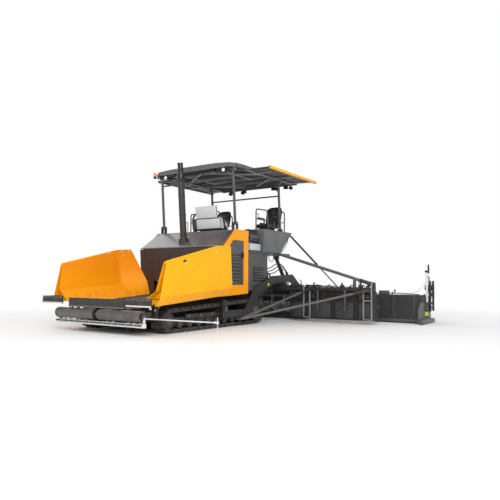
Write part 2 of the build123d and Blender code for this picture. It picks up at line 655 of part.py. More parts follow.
def grille_door():
    """The left grille door: a frame with slanted blades, on a hinge pin at its front edge."""
    d, g = DOOR, DOOR_GAP
    outline = [(d["y0"] + g, d["z0"] + g), (d["y1"] - g, d["z0"] + g), (d["y1"] - g, d["z1"] - g),
               (d["y0"] + d["cut"] + g / 2, d["z1"] - g), (d["y0"] + g, d["z1"] - d["cut"] - g / 2)]
    x0, x1 = BODY_OUT - 24, BODY_OUT - 2
    panel = side_plate(outline, x0, x1)
    low, high = d["z0"] + 60, d["z1"] - 330
    panel -= block(x0 - 1, x1 + 1, d["y0"] + 70, d["y1"] - 70, low, high)
    pitch = (high - low) / DOOR_BLADES
    pieces = [panel]
    for i in range(DOOR_BLADES):
        z = low + (i + 0.5) * pitch
        blade = [(x0, z + 24), (x0 + 4, z + 28), (x1, z - 20), (x1 - 4, z - 24)]
        pieces.append(cross_plate(blade, d["y0"] + 66, d["y1"] - 66))
    for z in (d["z0"] + 120, d["z1"] - 320):
        hinge = rod((DOOR_HINGE[0], DOOR_HINGE[1], z), (DOOR_HINGE[0], DOOR_HINGE[1], z + 70), 11)
        strap = block(BODY_OUT + 3, DOOR_HINGE[0], DOOR_HINGE[1] - 3, d["y0"] + 60, z + 5, z + 65)
        pad = block(x1 - 6, BODY_OUT + 4, d["y0"] + g + 6, d["y0"] + 60, z + 5, z + 65)
        pieces.append(hinge + strap + pad)
    pieces.append(block(x1 - 2, x1 + 10, d["y1"] - 60, d["y1"] - 24, 1560, 1660))
    shape = joined(pieces)
    for z in (d["z0"] + 120, d["z1"] - 320):
        shape -= rod((DOOR_HINGE[0], DOOR_HINGE[1], z - 1), (DOOR_HINGE[0], DOOR_HINGE[1], z + 71), 6 + PIN_GAP)
    return shape


def door_pins():
    """Hinge pins of the left grille door with their ears on the side panel."""
    pieces = []
    x, y = DOOR_HINGE
    for z in (DOOR["z0"] + 120, DOOR["z1"] - 320):
        pieces.append(rod((x, y, z - 24), (x, y, z + 94), 6))
        for z0 in (z - 24, z + 74):
            pieces.append(block(BODY_OUT - 4, x + 8, y - 10, y + 10, z0, z0 + 20))
    return pieces


def engine_block():
    """The engine as one plain block on the cross members between the conveyor's posts."""
    half, rear = ENGINE_HALF, HOOD_REAR[0] - 40
    low = block(-half, half, BODY_POSTS[0] + 10, rear, ENGINE_Z[0], BODY_POST_TOP)
    return low + block(-half, half, BODY_POSTS[0] + 155, rear, BODY_POST_TOP, ENGINE_Z[1])


def rear_body():
    """Side tanks behind the engine on their feet, and the bulkhead between them."""
    pieces = []
    for s in (-1, 1):
        span = sorted((s * TANK_IN, s * TANK_OUT))
        top = DECK_Z - SEAT_GAP
        front, rear = DECK_Y[0], CHASSIS_REAR
        tank = side_plate([(front, 775), (rear - 80, 820), (rear, 900), (rear, top), (front, top)], *span)
        face = s * TANK_OUT
        for i in range(6):
            z = 900 + i * 75
            tank -= block(*sorted((face - s * 14, face + s)), DECK_Y[0] + 90, CHASSIS_REAR - 180, z, z + 34)
        pieces.append(tank)
        for y in (DECK_Y[0] + 20, CHASSIS_REAR - 140):
            under = on_floor(y, -28)[1] - 14
            pieces.append(block(*sorted((s * (CHASSIS_OUT + SEAT_GAP), s * POST_OUT)), y, y + 60, under - 50, under))
            pieces.append(block(*sorted((s * TANK_IN, s * POST_OUT)), y, y + 60, under - 50, 900))
    pieces.append(block(-TANK_IN - 10, TANK_IN + 10, CHASSIS_REAR - 32, CHASSIS_REAR, 1150, DECK_Z - SEAT_GAP))
    return joined(pieces)


def engine_frames():
    """Two frames over the conveyor that carry the engine and the side panels."""
    pieces = []
    for y in BODY_POSTS:
        foot = on_floor(y, -28)[1] - 20
        pieces.append(block(-POST_IN, POST_IN, y, y + 60, ENGINE_Z[0] - SEAT_GAP - 50, ENGINE_Z[0] - SEAT_GAP))
        for s in (-1, 1):
            post = sorted((s * POST_IN, s * POST_OUT))
            pieces.append(block(*post, y, y + 60, foot - 50, BODY_POST_TOP))
            reach = sorted((s * (CHASSIS_OUT + SEAT_GAP), s * POST_OUT))
            pieces.append(block(*reach, y, y + 60, foot - 50, foot))
            for z in (foot + 66, BODY_POST_TOP - 50):
                arm = sorted((s * POST_OUT, s * (BODY_OUT - PANEL_T - SEAT_GAP)))
                pieces.append(block(*arm, y, y + 60, z, z + 50))
    return pieces


def operator_deck():
    """The platform's plate."""
    return block(-DECK_HALF, DECK_HALF, *DECK_Y, DECK_Z, DECK_Z + DECK_T)


def side_consoles():
    """The two side consoles under the seats, their rear edges cut forwards."""
    low = DECK_Z + DECK_T + SEAT_GAP
    front, rear = CONSOLE_Y
    outline = [(front, low), (rear - 580, low), (rear, CONSOLE_TOP), (front, CONSOLE_TOP)]
    return pair(side_plate(outline, CONSOLE_IN, CONSOLE_OUT))


def steering_console():
    """The console across the front of the platform on its leg."""
    leg = block(-320, 120, 3460, 3560, DECK_Z + DECK_T + SEAT_GAP, 2290)
    head = side_plate([(3370, 2290), (3640, 2290), (3600, 2420), (3330, 2560)], -480, 420)
    shade = side_plate([(3310, 2560), (3350, 2545), (3290, 2860), (3250, 2850)], -300, 330)
    return leg + head + shade


def seats():
    """Cushion, back and pedestal of the two operator's seats."""
    base = block(SEAT_X - 150, SEAT_X + 150, 4640, 4980, CONSOLE_TOP + SEAT_GAP, 2400)
    cushion = block(SEAT_X - 225, SEAT_X + 225, 4560, 5060, 2400, 2500)
    back = side_plate([(5000, 2480), (5090, 2470), (5210, 2970), (5110, 2975)], SEAT_X - 215, SEAT_X + 215)
    return pair(base + cushion + back)


def handrails():
    """Guard rails of the platform, bent from tube."""
    r = 17
    low = CONSOLE_TOP + SEAT_GAP
    x, y, top = RAIL_X, CONSOLE_Y[0] - 50, CONSOLE_TOP + 500
    front = pipe([(x, y, low - 100), (x, y, top), (x, y + 510, top + 20), (x, y + 600, low)], r, 60)
    front -= block(x - 50, x + 50, y - 60, y + 740, low - 200, low)
    y, top = CONSOLE_Y[1] - 40, CONSOLE_TOP + 580
    rear = pipe([(x - 350, y, low), (x - 350, y, top), (x - 10, y, top), (x - 10, y, low)], r, 60)
    return Compound([*pair(front).solids(), *pair(rear).solids()])


def exhaust_stack():
    """The stack over the hood, leaning as the roof posts do, with its collar and base."""
    lean = math.radians(5)
    foot_y = EXHAUST_Y
    slope = (HOOD_BEND[1] - HOOD_LOW[1]) / (HOOD_BEND[0] - HOOD_LOW[0])
    foot_z = HOOD_LOW[1] + (foot_y - HOOD_LOW[0]) * slope
    way = (0, -math.sin(lean), math.cos(lean))
    at = along((0, foot_y, foot_z), way)
    stack = bar(at(-60), at(1660), 78, 20) + bar(at(-60), at(70), 118, 20) + bar(at(1500), at(1610), 88, 20)
    stack -= bar(at(400), at(1700), 70, 20)
    return stack - engine_hood_solid()


def engine_hood_solid():
    """Everything under the hood's skin, to seat what stands on it."""
    low, bend, rear = [(y, z + SEAT_GAP) for y, z in hood_outline(0)[1:4]]
    outline = [(low[0] - 300, 1300), (low[0] - 300, low[1]), low, bend, rear, (rear[0], 1300)]
    return side_plate(outline, -400, 400)


# Roof
def post_line(foot_y):
    """Foot and head of a roof post."""
    lean = math.tan(math.radians(POST_LEAN))
    return (foot_y, POST_FOOT_Z), (foot_y - lean * (POST_HEAD_Z - POST_FOOT_Z), POST_HEAD_Z)


def roof_posts(foot_y, cross_z, head_pins):
    """Two posts of the folding roof with their cross tube and bores."""
    foot, head = post_line(foot_y)
    share = (cross_z - foot[1]) / (head[1] - foot[1])
    cross_y = foot[0] + share * (head[0] - foot[0])
    pieces = [bar((-POST_X, cross_y, cross_z), (POST_X, cross_y, cross_z), 20)]
    for s in (-1, 1):
        pieces.append(bar((s * POST_X, *foot), (s * POST_X, *head), POST_R))
        for y, z in (foot, head):
            pieces.append(bar((s * POST_X - 34, y, z), (s * POST_X + 34, y, z), 38, 16))
    shape = joined(pieces)
    for s in (-1, 1):
        for (y, z), hole in ((foot, 16 + PIN_GAP), (head, head_pins)):
            shape -= rod((s * POST_X - 40, y, z), (s * POST_X + 40, y, z), hole)
    return shape


def post_feet():
    """Brackets and pins at the posts' feet, standing on the hood rear, deck and consoles."""
    pieces = []
    bases = (HOOD_BEND[1] + SEAT_GAP, CONSOLE_TOP + SEAT_GAP)
    for foot_y, base in zip(POST_FEET.values(), bases):
        for s in (-1, 1):
            x = s * POST_X
            foot = rod((x - 62, foot_y, POST_FOOT_Z), (x + 62, foot_y, POST_FOOT_Z), 16)
            for x0 in (x - 62, x + 46):
                foot += block(x0, x0 + 16, foot_y - 42, foot_y + 42, base, POST_FOOT_Z + 30)
            pieces.append(foot)
    return pieces


def roof_section(y, half, crown, wall=0):
    """A cambered roof section across the machine, its top and sides moved in by a wall."""
    z = ROOF_Z + ROOF_EDGE_T - wall
    side = half - wall
    low = ROOF_Z - wall
    return make_face(Polyline(
        (-side, y, low), (-side, y, z), (-side * 0.55, y, z + crown), (side * 0.55, y, z + crown),
        (side, y, z), (side, y, low), close=True))


def roof_outer(wall=0):
    """The canopy's form, moved inwards by a wall, with its chamfered front corners."""
    y0, y1 = ROOF_Y[0] + wall, ROOF_Y[1] - wall
    bend = ROOF_Y[0] + 500
    front = roof_section(y0, ROOF_HALF, ROOF_CROWN - 30, wall)
    middle = roof_section(bend, ROOF_HALF, ROOF_CROWN, wall)
    rear = roof_section(y1, ROOF_HALF, ROOF_CROWN - 10, wall)
    form = loft([front, middle], ruled=True) + loft([middle, rear], ruled=True)
    for s in (-1, 1):
        out = s * (ROOF_HALF + 50)
        ahead = ROOF_Y[0] - 60
        corner = [(out, ahead), (out, ROOF_Y[0] + ROOF_CHAMFER[1] + 78 + wall * 1.4),
                  (s * (ROOF_HALF - ROOF_CHAMFER[0] - 38 - wall * 1.4), ahead)]
        form -= flat_plate(corner, ROOF_Z - 50, ROOF_Z + 300)
    return form


def roof_canopy():
    """The canopy: a thin cambered shell with ribs underneath and ears for the posts."""
    y0 = ROOF_Y[0]
    inner = roof_outer(ROOF_WALL)
    pieces = [roof_outer() - inner]
    half, top = ROOF_HALF - 4, ROOF_Z + ROOF_EDGE_T
    outline = [(-half, ROOF_Z + 20), (half, ROOF_Z + 20), (half, top - 4), (ROOF_HALF * 0.55, top + ROOF_CROWN - 14),
               (-ROOF_HALF * 0.55, top + ROOF_CROWN - 14), (-half, top - 4)]
    for i in range(6):
        y = y0 + 110 + i * ROOF_RIB_PITCH
        rib = cross_plate(outline, y, y + 30)
        rib -= block(-ROOF_HALF + 120, ROOF_HALF - 120, y - 1, y + 31, ROOF_Z, ROOF_Z + 62)
        pieces.append(rib)
    for foot_y in POST_FEET.values():
        _, (head_y, head_z) = post_line(foot_y)
        for s in (-1, 1):
            x = s * POST_X
            pieces.append(rod((x - 62, head_y, head_z), (x + 62, head_y, head_z), 16))
            for x0 in (x - 62, x + 46):
                pieces.append(block(x0, x0 + 16, head_y - 40, head_y + 40, head_z - 30, ROOF_Z + ROOF_EDGE_T + 12))
    for s in (-1, 1):
        rail = sorted((s * (POST_X - 62), s * (POST_X - 46)))
        pieces.append(block(*rail, y0 + 110, ROOF_Y[1] - 60, ROOF_Z + 50, ROOF_Z + ROOF_EDGE_T + 4))
    return joined(pieces)


def roof_awnings():
    """Side awnings on their pull-out arms, each with its edge strip."""
    y0, y1 = AWNING_Y
    inner = ROOF_HALF + SEAT_GAP
    outline = [(inner, y0), (AWNING_OUT - 40, y0 + 40), (AWNING_OUT - 40, y1 - 20), (inner, y1 - 140)]
    skin = flat_plate(outline, ROOF_Z + 40, ROOF_Z + 52)
    edge = block(AWNING_OUT - 40, AWNING_OUT, y0 + 30, y1, ROOF_Z + 5, ROOF_Z + 65)
    places = (y0 + 120, (y0 + y1) / 2, y1 - 320)
    arms = [block(inner, AWNING_OUT - 30, y, y + 40, ROOF_Z + 12, ROOF_Z + 42) for y in places]
    return pair(joined([skin, edge, *arms]))


def roof_lights():
    """Work lamps under the roof's ends and the beacon on its front corner."""
    lamps = []
    y0, y1 = ROOF_Y
    for x in (-560, 560):
        lamps.append(block(x - 70, x + 70, y0 + 60, y0 + 130, ROOF_Z - 75, ROOF_Z + 90))
    for x in (-900, -500, 500, 900):
        lamps.append(block(x - 60, x + 60, y1 - 30 + SEAT_GAP, y1 + 30, ROOF_Z - 75, ROOF_Z - SEAT_GAP))
    return lamps


# Rear frame and augers
def auger_box():
    """The gear case between the augers, its cross beam and the hangers from the chassis."""
    case = side_plate([(5220, 300), (5470, 300), (5500, 700), (5200, 760)], -150, 150)
    beam = block(-TUNNEL_IN, TUNNEL_IN, TUNNEL_Y - 85, TUNNEL_Y + 15, *AUGER_BEAM_Z)
    pieces = [case, beam, block(-150, 150, TUNNEL_Y, 5260, 600, 900)]
    for s in (-1, 1):
        span = sorted((s * 840, s * 900))
        hang = side_plate([(HANGER_Y, 560), (HANGER_Y + 100, 560), (TUNNEL_Y - 40, 800), (TUNNEL_Y - 40, 890),
                           (HANGER_Y + 80, 700), (HANGER_Y, 700)], *span)
        pieces.append(hang)
        link = sorted((s * (CHASSIS_OUT + SEAT_GAP), s * 845))
        pieces.append(block(*link, HANGER_Y, CHASSIS_REAR - 4, 580, 690))
    for s in (-1, 1):
        span = sorted((s * 148, s * 178))
        pieces.append(rod((span[0], AUGER_Y, AUGER_Z), (span[1], AUGER_Y, AUGER_Z), 90))
    shape = joined(pieces)
    return shape - rod((-200, AUGER_Y, AUGER_Z), (200, AUGER_Y, AUGER_Z), AUGER_SHAFT_R + PIN_GAP - 8)


def auger():
    """The left auger: its shaft and the half-turn blades bolted along it."""
    pieces = [rod((AUGER_IN, AUGER_Y, AUGER_Z), (AUGER_OUT, AUGER_Y, AUGER_Z), AUGER_SHAFT_R)]
    pieces.append(rod((AUGER_IN - 60, AUGER_Y, AUGER_Z), (AUGER_OUT + 70, AUGER_Y, AUGER_Z), AUGER_SHAFT_R - 8))
    lean = math.atan(AUGER_PITCH / 2 / (2 * AUGER_R))
    arc = [math.pi * i / BLADE_FLATS for i in range(BLADE_FLATS + 1)]
    rim = [(AUGER_R * math.cos(a) / math.cos(lean), AUGER_R * math.sin(a)) for a in arc]
    half_disc = extrude(Plane.YZ.offset(-BLADE_T / 2) * make_face(Polyline(*rim, close=True)), BLADE_T)
    count = int((AUGER_OUT - AUGER_IN - 120) / (AUGER_PITCH / 2))
    for i in range(count):
        side = 1 if i % 2 == 0 else -1
        blade = Rot(Z=math.degrees(side * lean)) * Rot(X=0 if side > 0 else 180) * half_disc
        x = AUGER_IN + 60 + AUGER_PITCH / 4 + i * AUGER_PITCH / 2
        pieces.append(Pos(x, AUGER_Y, AUGER_Z) * blade)
    return joined(pieces)


def auger_tunnel():
    """The left retaining plate in front of the auger with ribs, top tube and end frame."""
    z0, z1 = TUNNEL_Z
    pieces = [block(TUNNEL_IN, TUNNEL_OUT, TUNNEL_Y, TUNNEL_Y + PLATE, z0, z1)]
    for x in TUNNEL_RIBS:
        pieces.append(block(x - 8, x + 8, TUNNEL_Y - 55, TUNNEL_Y + 2, z0 + 20, z1))
    pieces.append(block(TUNNEL_IN + SEAT_GAP, TUNNEL_OUT, TUNNEL_Y - 70, TUNNEL_Y + PLATE, z1 - 10, z1 + 70))
    pieces.append(block(TUNNEL_IN, TUNNEL_OUT, TUNNEL_Y - 40, TUNNEL_Y + 2, z0, z0 + 12))
    bearing_x = AUGER_OUT + 40
    outline = [(TUNNEL_Y, z0), (TUNNEL_Y + 200, z0 + 40), (AUGER_Y + 110, AUGER_Z - 80), (AUGER_Y + 110, AUGER_Z + 90),
               (TUNNEL_Y + 60, z1 + 60), (TUNNEL_Y, z1 + 60)]
    pieces.append(side_plate(outline, bearing_x, bearing_x + 20))
    pieces.append(block(TUNNEL_OUT - 60, TUNNEL_OUT, TUNNEL_Y - 50, TUNNEL_Y + 20, z0, z1 + 190))
    shape = joined(pieces)
    bore_r = AUGER_SHAFT_R - 8 + PIN_GAP
    return shape - rod((bearing_x - 5, AUGER_Y, AUGER_Z), (bearing_x + 30, AUGER_Y, AUGER_Z), bore_r)


def brace_tubes():
    """Tubes that brace the left auger plates against the tractor, with their brackets."""
    pieces = [bar(start, end, radius) for _, start, end, radius in BRACES]
    beam_side = TRACK_OUT - TRACK_WIDTH / 2 + TRACK_BEAM_HALF + SEAT_GAP
    inner = block(beam_side, 1345, 2926, 2978, 138, 184) + pieces[2]
    outer = block(beam_side, 1350, 2990, 3042, 138, 184) + pieces[3]
    return inner, outer, pieces[0], pieces[1]


# Screed
def tow_arms():
    """The two tow arms from the tow pins, over the auger beam and down to the screed."""
    y, z = TOW_PIN
    rear = SCREED_Y[1] - 60
    line = [(y - 75, z - 190), (y + 900, z - 190), (3500, 330), (3760, 660), (4500, 960), (5300, 1010),
            (SCREED_Y[0] + 130, 760), (rear, 640), (rear, 840), (5420, 1190), (4420, 1140), (3620, 860),
            (3330, 520), (y + 800, z - 30), (y + 120, z - 30), (y + 75, z + 200), (y - 75, z + 200)]
    arm = side_plate(line, ARM_OUT - ARM_T, ARM_OUT)
    bore = rod((ARM_OUT - ARM_T - 1, y, z), (ARM_OUT + 1, y, z), TOW_PIN_R + PIN_GAP)
    return pair(arm - bore)


def tow_pin():
    """The left tow pin on its stand, between the track's upper and lower runs."""
    y, z = TOW_PIN
    mid = TRACK_OUT - TRACK_WIDTH / 2
    low = TRACK_BEAM_Z[1] - 10
    stand = side_plate([(y - 110, low), (y + 110, low), (y + 42, z + 20), (y - 42, z + 20)], mid - 50, mid + 50)
    return stand + rod((mid, y, z), (ARM_OUT + 20, y, z), TOW_PIN_R)


def screed_base():
    """The middle section: heated plate, box, guide tubes' housing and the rear walkway."""
    y0, y1 = SCREED_Y
    half = SCREED_HALF
    top = SCREED_TOP
    outline = [(y0, 25), (y0 + 35, 0), (y1, 0), (y1, top), (y0 + 40, top), (y0, top - 60)]
    pieces = [side_plate(outline, -half, half)]
    bracket = [(y0 + 60, top - 10), (y1 - 20, top - 10), (y1 - 60, top + 180), (y0 + 140, top + 180)]
    y, z = LIFT_FOOT
    foot = [(y - 60, top - 10), (y + 60, top - 10), (y + 30, z + 30), (y - 30, z + 30)]
    for s in (-1, 1):
        pieces.append(side_plate(bracket, *sorted((s * (ARM_OUT - ARM_T - 18), s * (ARM_OUT - ARM_T - SEAT_GAP)))))
        pieces.append(side_plate(foot, *sorted((s * (LIFT_X + 62), s * (LIFT_X + 78)))))
    walk = top + 130
    pieces.append(block(-half, half, y1 - 40, BASE_WALK_OUT, walk, walk + 30))
    pieces.append(block(-half, half, y1 - 40, y1, top - 10, walk + 20))
    rib = [(y1 - 30, walk - 80), (y1 + 20, walk - 70), (BASE_WALK_OUT - 20, walk), (y1 - 30, walk + 5)]
    for x in (-half, -500, 480, half - 20):
        pieces.append(side_plate(rib, x, x + 20))
    return joined([*pieces, *guide_sleeves()])


def guide_sleeves():
    """Sleeves on the middle section's back that carry the two guide tubes."""
    pieces = []
    for s, z in ((1, GUIDE_Z["left"]), (-1, GUIDE_Z["right"])):
        for x0, x1 in ((110, 230), (540, 690)):
            span = sorted((s * x0, s * x1))
            ring = bar((span[0], GUIDE_Y, z), (span[1], GUIDE_Y, z), GUIDE_R + 20, 16)
            ring += block(*span, SCREED_Y[1] - 5, GUIDE_Y - 20, z - 50, z + 50)
            pieces.append(ring - rod((span[0] - 1, GUIDE_Y, z), (span[1] + 1, GUIDE_Y, z), GUIDE_R + PIN_GAP))
    return pieces


def guide_tube(z):
    """The left extension's guide tube at one height."""
    return rod((GUIDE_END, GUIDE_Y, z), (EXT_IN + 5, GUIDE_Y, z), GUIDE_R)


def screed_extension():
    """The left extension with its bolt-on section, guide tube, walkway and end rib."""
    y0, y1 = EXT_Y
    outline = [(y0, 25), (y0 + 35, 0), (y1, 0), (y1 + 30, 60), (y1 + 30, 420), (y1 - 160, EXT_TOP), (y0, EXT_TOP)]
    body = side_plate(outline, EXT_IN, SCREED_OUT)
    seam = block(BOLT_ON - 6, BOLT_ON + 6, y0 - 10, y0 + 14, 40, EXT_TOP + 5)
    seam += block(BOLT_ON - 6, BOLT_ON + 6, y0, y1 + 60, EXT_TOP - 14, EXT_TOP + 5)
    pieces = [body - seam]
    pieces.append(block(EXT_IN + 10, SCREED_OUT, y1 + 20, WALK_OUT, 330, 360))
    rib = [(y1 + 25, 180), (y1 + 60, 180), (WALK_OUT - 30, 335), (y1 + 25, 335)]
    for x in (EXT_IN + 40, BOLT_ON - 40, BOLT_ON + 40, SCREED_OUT - 60):
        pieces.append(side_plate(rib, x, x + 16))
    return joined(pieces)


def end_gate():
    """The left end gate: side plate, sliding shoe, mast and hand wheel posts."""
    x0 = SCREED_OUT + SEAT_GAP
    y0 = EXT_Y[0] - 370
    rear = EXT_Y[1] + 180
    plate = side_plate([(y0, 60), (y0 + 60, 30), (rear, 30), (rear, 520), (y0 + 200, 520), (y0, 330)], x0, x0 + GATE_T)
    shoe = bar((x0 + 70, y0 - 20, 55), (x0 + 70, EXT_Y[1] + 240, 55), 55, 16)
    y = EXT_Y[0] + 220
    mast = bar((x0 + 60, y, 150), (x0 + 60, y, 1300), 22)
    for z in (300, 440):
        mast += block(x0 + 20, x0 + 70, y - 30, y + 30, z, z + 70)
    web = block(x0 + 20, x0 + 80, y0 + 100, EXT_Y[1] + 100, 60, 120)
    return plate + shoe + mast + web


def lift_barrels():
    """The two screed lift cylinders' barrels with their upper eyes."""
    (dy, dz), reach = unit_between(LIFT_TOP, LIFT_FOOT)
    at = along((LIFT_X, *LIFT_TOP), (0, dy, dz))
    barrel = rod(at(40), at(LIFT_BARREL_LONG), LIFT_BARREL_R)
    eye = rod((LIFT_X - 30, *LIFT_TOP), (LIFT_X + 30, *LIFT_TOP), 52)
    bore = rod((LIFT_X - 40, *LIFT_TOP), (LIFT_X + 40, *LIFT_TOP), 22 + PIN_GAP)
    return pair(barrel + eye - bore - rod(at(130), at(reach), LIFT_ROD_R + PIN_GAP))


def lift_rods():
    """The lift cylinders' rods with their lower eyes."""
    (dy, dz), reach = unit_between(LIFT_TOP, LIFT_FOOT)
    at = along((LIFT_X, *LIFT_TOP), (0, dy, dz))
    eye = rod((LIFT_X - 30, *LIFT_FOOT), (LIFT_X + 30, *LIFT_FOOT), 46)
    return pair(rod(at(LIFT_BARREL_LONG - 60), at(reach), LIFT_ROD_R) + eye)


def lift_pins():
    """Upper pins of the lift cylinders, on ears under the platform."""
    pieces = []
    y, z = LIFT_TOP
    for s in (-1, 1):
        pieces.append(rod((s * LIFT_X - 72, y, z), (s * LIFT_X + 72, y, z), 22))
        for x0 in (s * LIFT_X - 72, s * LIFT_X + 56):
            pieces.append(block(x0, x0 + 16, y - 45, y + 45, z - 40, DECK_Z + 10))
    return pieces


def rear_hoses():
    """Hydraulic hose loops held at the bulkhead and at the auger box's beam."""
    hoses = []
    for i in range(4):
        x = 560 + i * 90
        top = 1500 - i * 60
        route = [(x, CHASSIS_REAR + SEAT_GAP, top), (x, 4500, top), (x, 4860 - i * 40, top - 90),
                 (x, 5045, 1180), (x, 5045, AUGER_BEAM_Z[1] + SEAT_GAP)]
        hoses.append(pipe(route, 24, 110))
    return hoses


track_left = track()
save("track_left", track_left)
save("track_right", across(track_left))
frame_left = track_frame() + tow_pin()
save("track_frame_left", frame_left)
save("track_frame_right", across(frame_left))
inner_brace, outer_brace, upper_brace, strut = brace_tubes()
save("chassis_frame", chassis_frame())
save("engine_frames", joined(engine_frames()))
save("hopper_floor", joined([hopper_floor(), *apron_ears()]))
save("hopper_rear_wall", hopper_rear_wall())
wing_left = hopper_wing()
save("hopper_wing_left", wing_left)
save("hopper_wing_right", across(wing_left))
flap_left = wing_flap()
save("wing_flap_left", flap_left)
save("wing_flap_right", across(flap_left))
save("front_apron", front_apron())
save("push_beam", push_beam())
save("push_bar", push_bar())
roller_left = push_roller()
save("push_roller_left", roller_left)
save("push_roller_right", across(roller_left))
save("steering_guide", steering_guide())
barrel_left, rod_left = wing_barrel(), wing_rod()
save("wing_cylinder_left", barrel_left)
save("wing_cylinder_right", across(barrel_left))
save("wing_rod_left", rod_left)
save("wing_rod_right", across(rod_left))
save("engine_hood", engine_hood())
save("engine_block", engine_block())
save("side_panels", pair(joined([side_panel(), *door_pins()])))
door_left = grille_door()
save("grille_door_left", door_left)
save("grille_door_right", across(door_left))
save("rear_body", rear_body())
deck = joined([operator_deck(), *lift_pins()])
save("operator_deck", deck)
save("side_consoles", side_consoles())
save("steering_console", steering_console())
save("seats", seats())
save("handrails", handrails())
save("exhaust_stack", exhaust_stack())
save("post_feet", Compound([s for p in post_feet() for s in p.solids()]))
save("roof_posts_rear", roof_posts(POST_FEET["rear"], POST_HEAD_Z - 350, 16 + PIN_GAP))
save("roof_posts_front", roof_posts(POST_FEET["front"], POST_HEAD_Z - 200, 16 + OPEN_PIN_GAP))
canopy = roof_canopy()
save("roof_canopy", canopy)
save("roof_awnings", roof_awnings())
save("roof_lights", Compound([s for p in roof_lights() for s in (p - canopy).solids()]))
save("auger_box", auger_box())
auger_left = auger()
save("auger_left", auger_left)
save("auger_right", across(auger_left))
tunnel_left = auger_tunnel()
save("auger_tunnels", pair(tunnel_left))
consoles = side_consoles()
outer_brace -= inner_brace
braces = [inner_brace, outer_brace, upper_brace - consoles - deck, strut - consoles]
save("brace_tubes", Compound([solid for piece in braces for solid in pair(piece - tunnel_left).solids()]))
save("tow_arms", tow_arms())
save("screed_base", screed_base())
extension = screed_extension()
save("screed_extension_left", extension + guide_tube(GUIDE_Z["left"]))
save("screed_extension_right", across(extension + guide_tube(GUIDE_Z["right"])))
gate_left = end_gate()
save("end_gate_left", gate_left)
save("end_gate_right", across(gate_left))
save("lift_barrels", lift_barrels())
save("lift_rods", lift_rods())
save("rear_hoses", Compound([s for h in rear_hoses() for s in h.solids()]))
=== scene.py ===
# %% [markdown]
# # An asphalt paver on tracks
# The machine takes hot mix into its yellow hopper, carries it back under the engine and the
# platform, spreads it with two augers and levels it with a wide screed. The solids come from the
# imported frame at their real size. This lesson gives them their paints, rubbers and steels, and
# adds the smaller things that make the machine look real: bolts, seams, hoses, lamps and dials.

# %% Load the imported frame
import math
import json

import bpy
from mathutils import Matrix, Vector


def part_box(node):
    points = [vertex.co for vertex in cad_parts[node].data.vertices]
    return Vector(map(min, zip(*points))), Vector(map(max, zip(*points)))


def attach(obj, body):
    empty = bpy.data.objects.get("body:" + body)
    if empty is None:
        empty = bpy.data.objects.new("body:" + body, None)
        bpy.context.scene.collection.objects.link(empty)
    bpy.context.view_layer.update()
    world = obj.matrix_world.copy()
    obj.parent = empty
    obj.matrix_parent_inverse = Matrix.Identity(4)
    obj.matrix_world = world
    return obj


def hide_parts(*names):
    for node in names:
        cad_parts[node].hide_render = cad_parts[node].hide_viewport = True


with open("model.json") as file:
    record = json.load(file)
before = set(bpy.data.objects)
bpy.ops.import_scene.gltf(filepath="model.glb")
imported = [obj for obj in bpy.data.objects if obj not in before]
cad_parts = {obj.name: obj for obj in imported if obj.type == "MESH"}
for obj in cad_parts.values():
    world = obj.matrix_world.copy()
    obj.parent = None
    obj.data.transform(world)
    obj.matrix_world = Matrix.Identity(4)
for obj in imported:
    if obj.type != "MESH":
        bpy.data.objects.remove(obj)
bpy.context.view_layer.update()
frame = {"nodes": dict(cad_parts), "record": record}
bpy.ops.object.select_all(action="DESELECT")

# %% [markdown]
# All places along the machine are counted from the axis of its push rollers, because the hopper,
# the tracks and the screed are all drawn from there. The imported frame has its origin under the
# middle of the machine, so one small function moves a place from the one count to the other.

# %% Places on the machine
ROLLER_AXIS = -3.45


def spot(x, y, z):
    """A place in the frame, with y counted from the push rollers' axis."""
    return Vector((x, ROLLER_AXIS + y, z))


print("the rollers' axis is at y =", ROLLER_AXIS)

# %% [markdown]
# The camera stands a little over a metre high at the machine's front left corner. Its place, its
# turn and its lens come from known sizes: the track width, the panels and the screed's length.
# The picture is 500 pixels wide, and the focal length is given in those pixels.

# %% Camera
CAMERA_PLACE = spot(8.051, -6.769, 1.054)
CAMERA_YAW = math.radians(33.776)
CAMERA_PITCH = math.radians(3.229)
CAMERA_ROLL = math.radians(0.319)
FOCAL_PIXELS = 519.5
PICTURE_PIXELS = 500
SENSOR_MM = 36.0


def camera_turn():
    """The camera's axes from its yaw, pitch and roll."""
    look = Vector((-math.sin(CAMERA_YAW) * math.cos(CAMERA_PITCH),
                   math.cos(CAMERA_YAW) * math.cos(CAMERA_PITCH), math.sin(CAMERA_PITCH)))
    level = look.cross(Vector((0, 0, 1))).normalized()
    upright = level.cross(look)
    side = level * math.cos(CAMERA_ROLL) + upright * math.sin(CAMERA_ROLL)
    up = upright * math.cos(CAMERA_ROLL) - level * math.sin(CAMERA_ROLL)
    return Matrix((side, up, -look)).transposed()


lens_data = bpy.data.cameras.new("camera")
lens_data.sensor_width = SENSOR_MM
lens_data.lens = FOCAL_PIXELS / PICTURE_PIXELS * SENSOR_MM
lens_data.clip_end = 200
camera = bpy.data.objects.new("camera", lens_data)
bpy.context.collection.objects.link(camera)
camera.matrix_world = Matrix.Translation(CAMERA_PLACE) @ camera_turn().to_4x4()
bpy.context.scene.camera = camera
print("lens in mm:", round(lens_data.lens, 2))

# %% [markdown]
# A finish is a tree of nodes. Wiring each sum by hand hides what the finish does, so one small
# class wraps a socket and lets Python's own signs add the Math nodes. A second class holds the
# material, adds any other node and sets the shader's sockets.


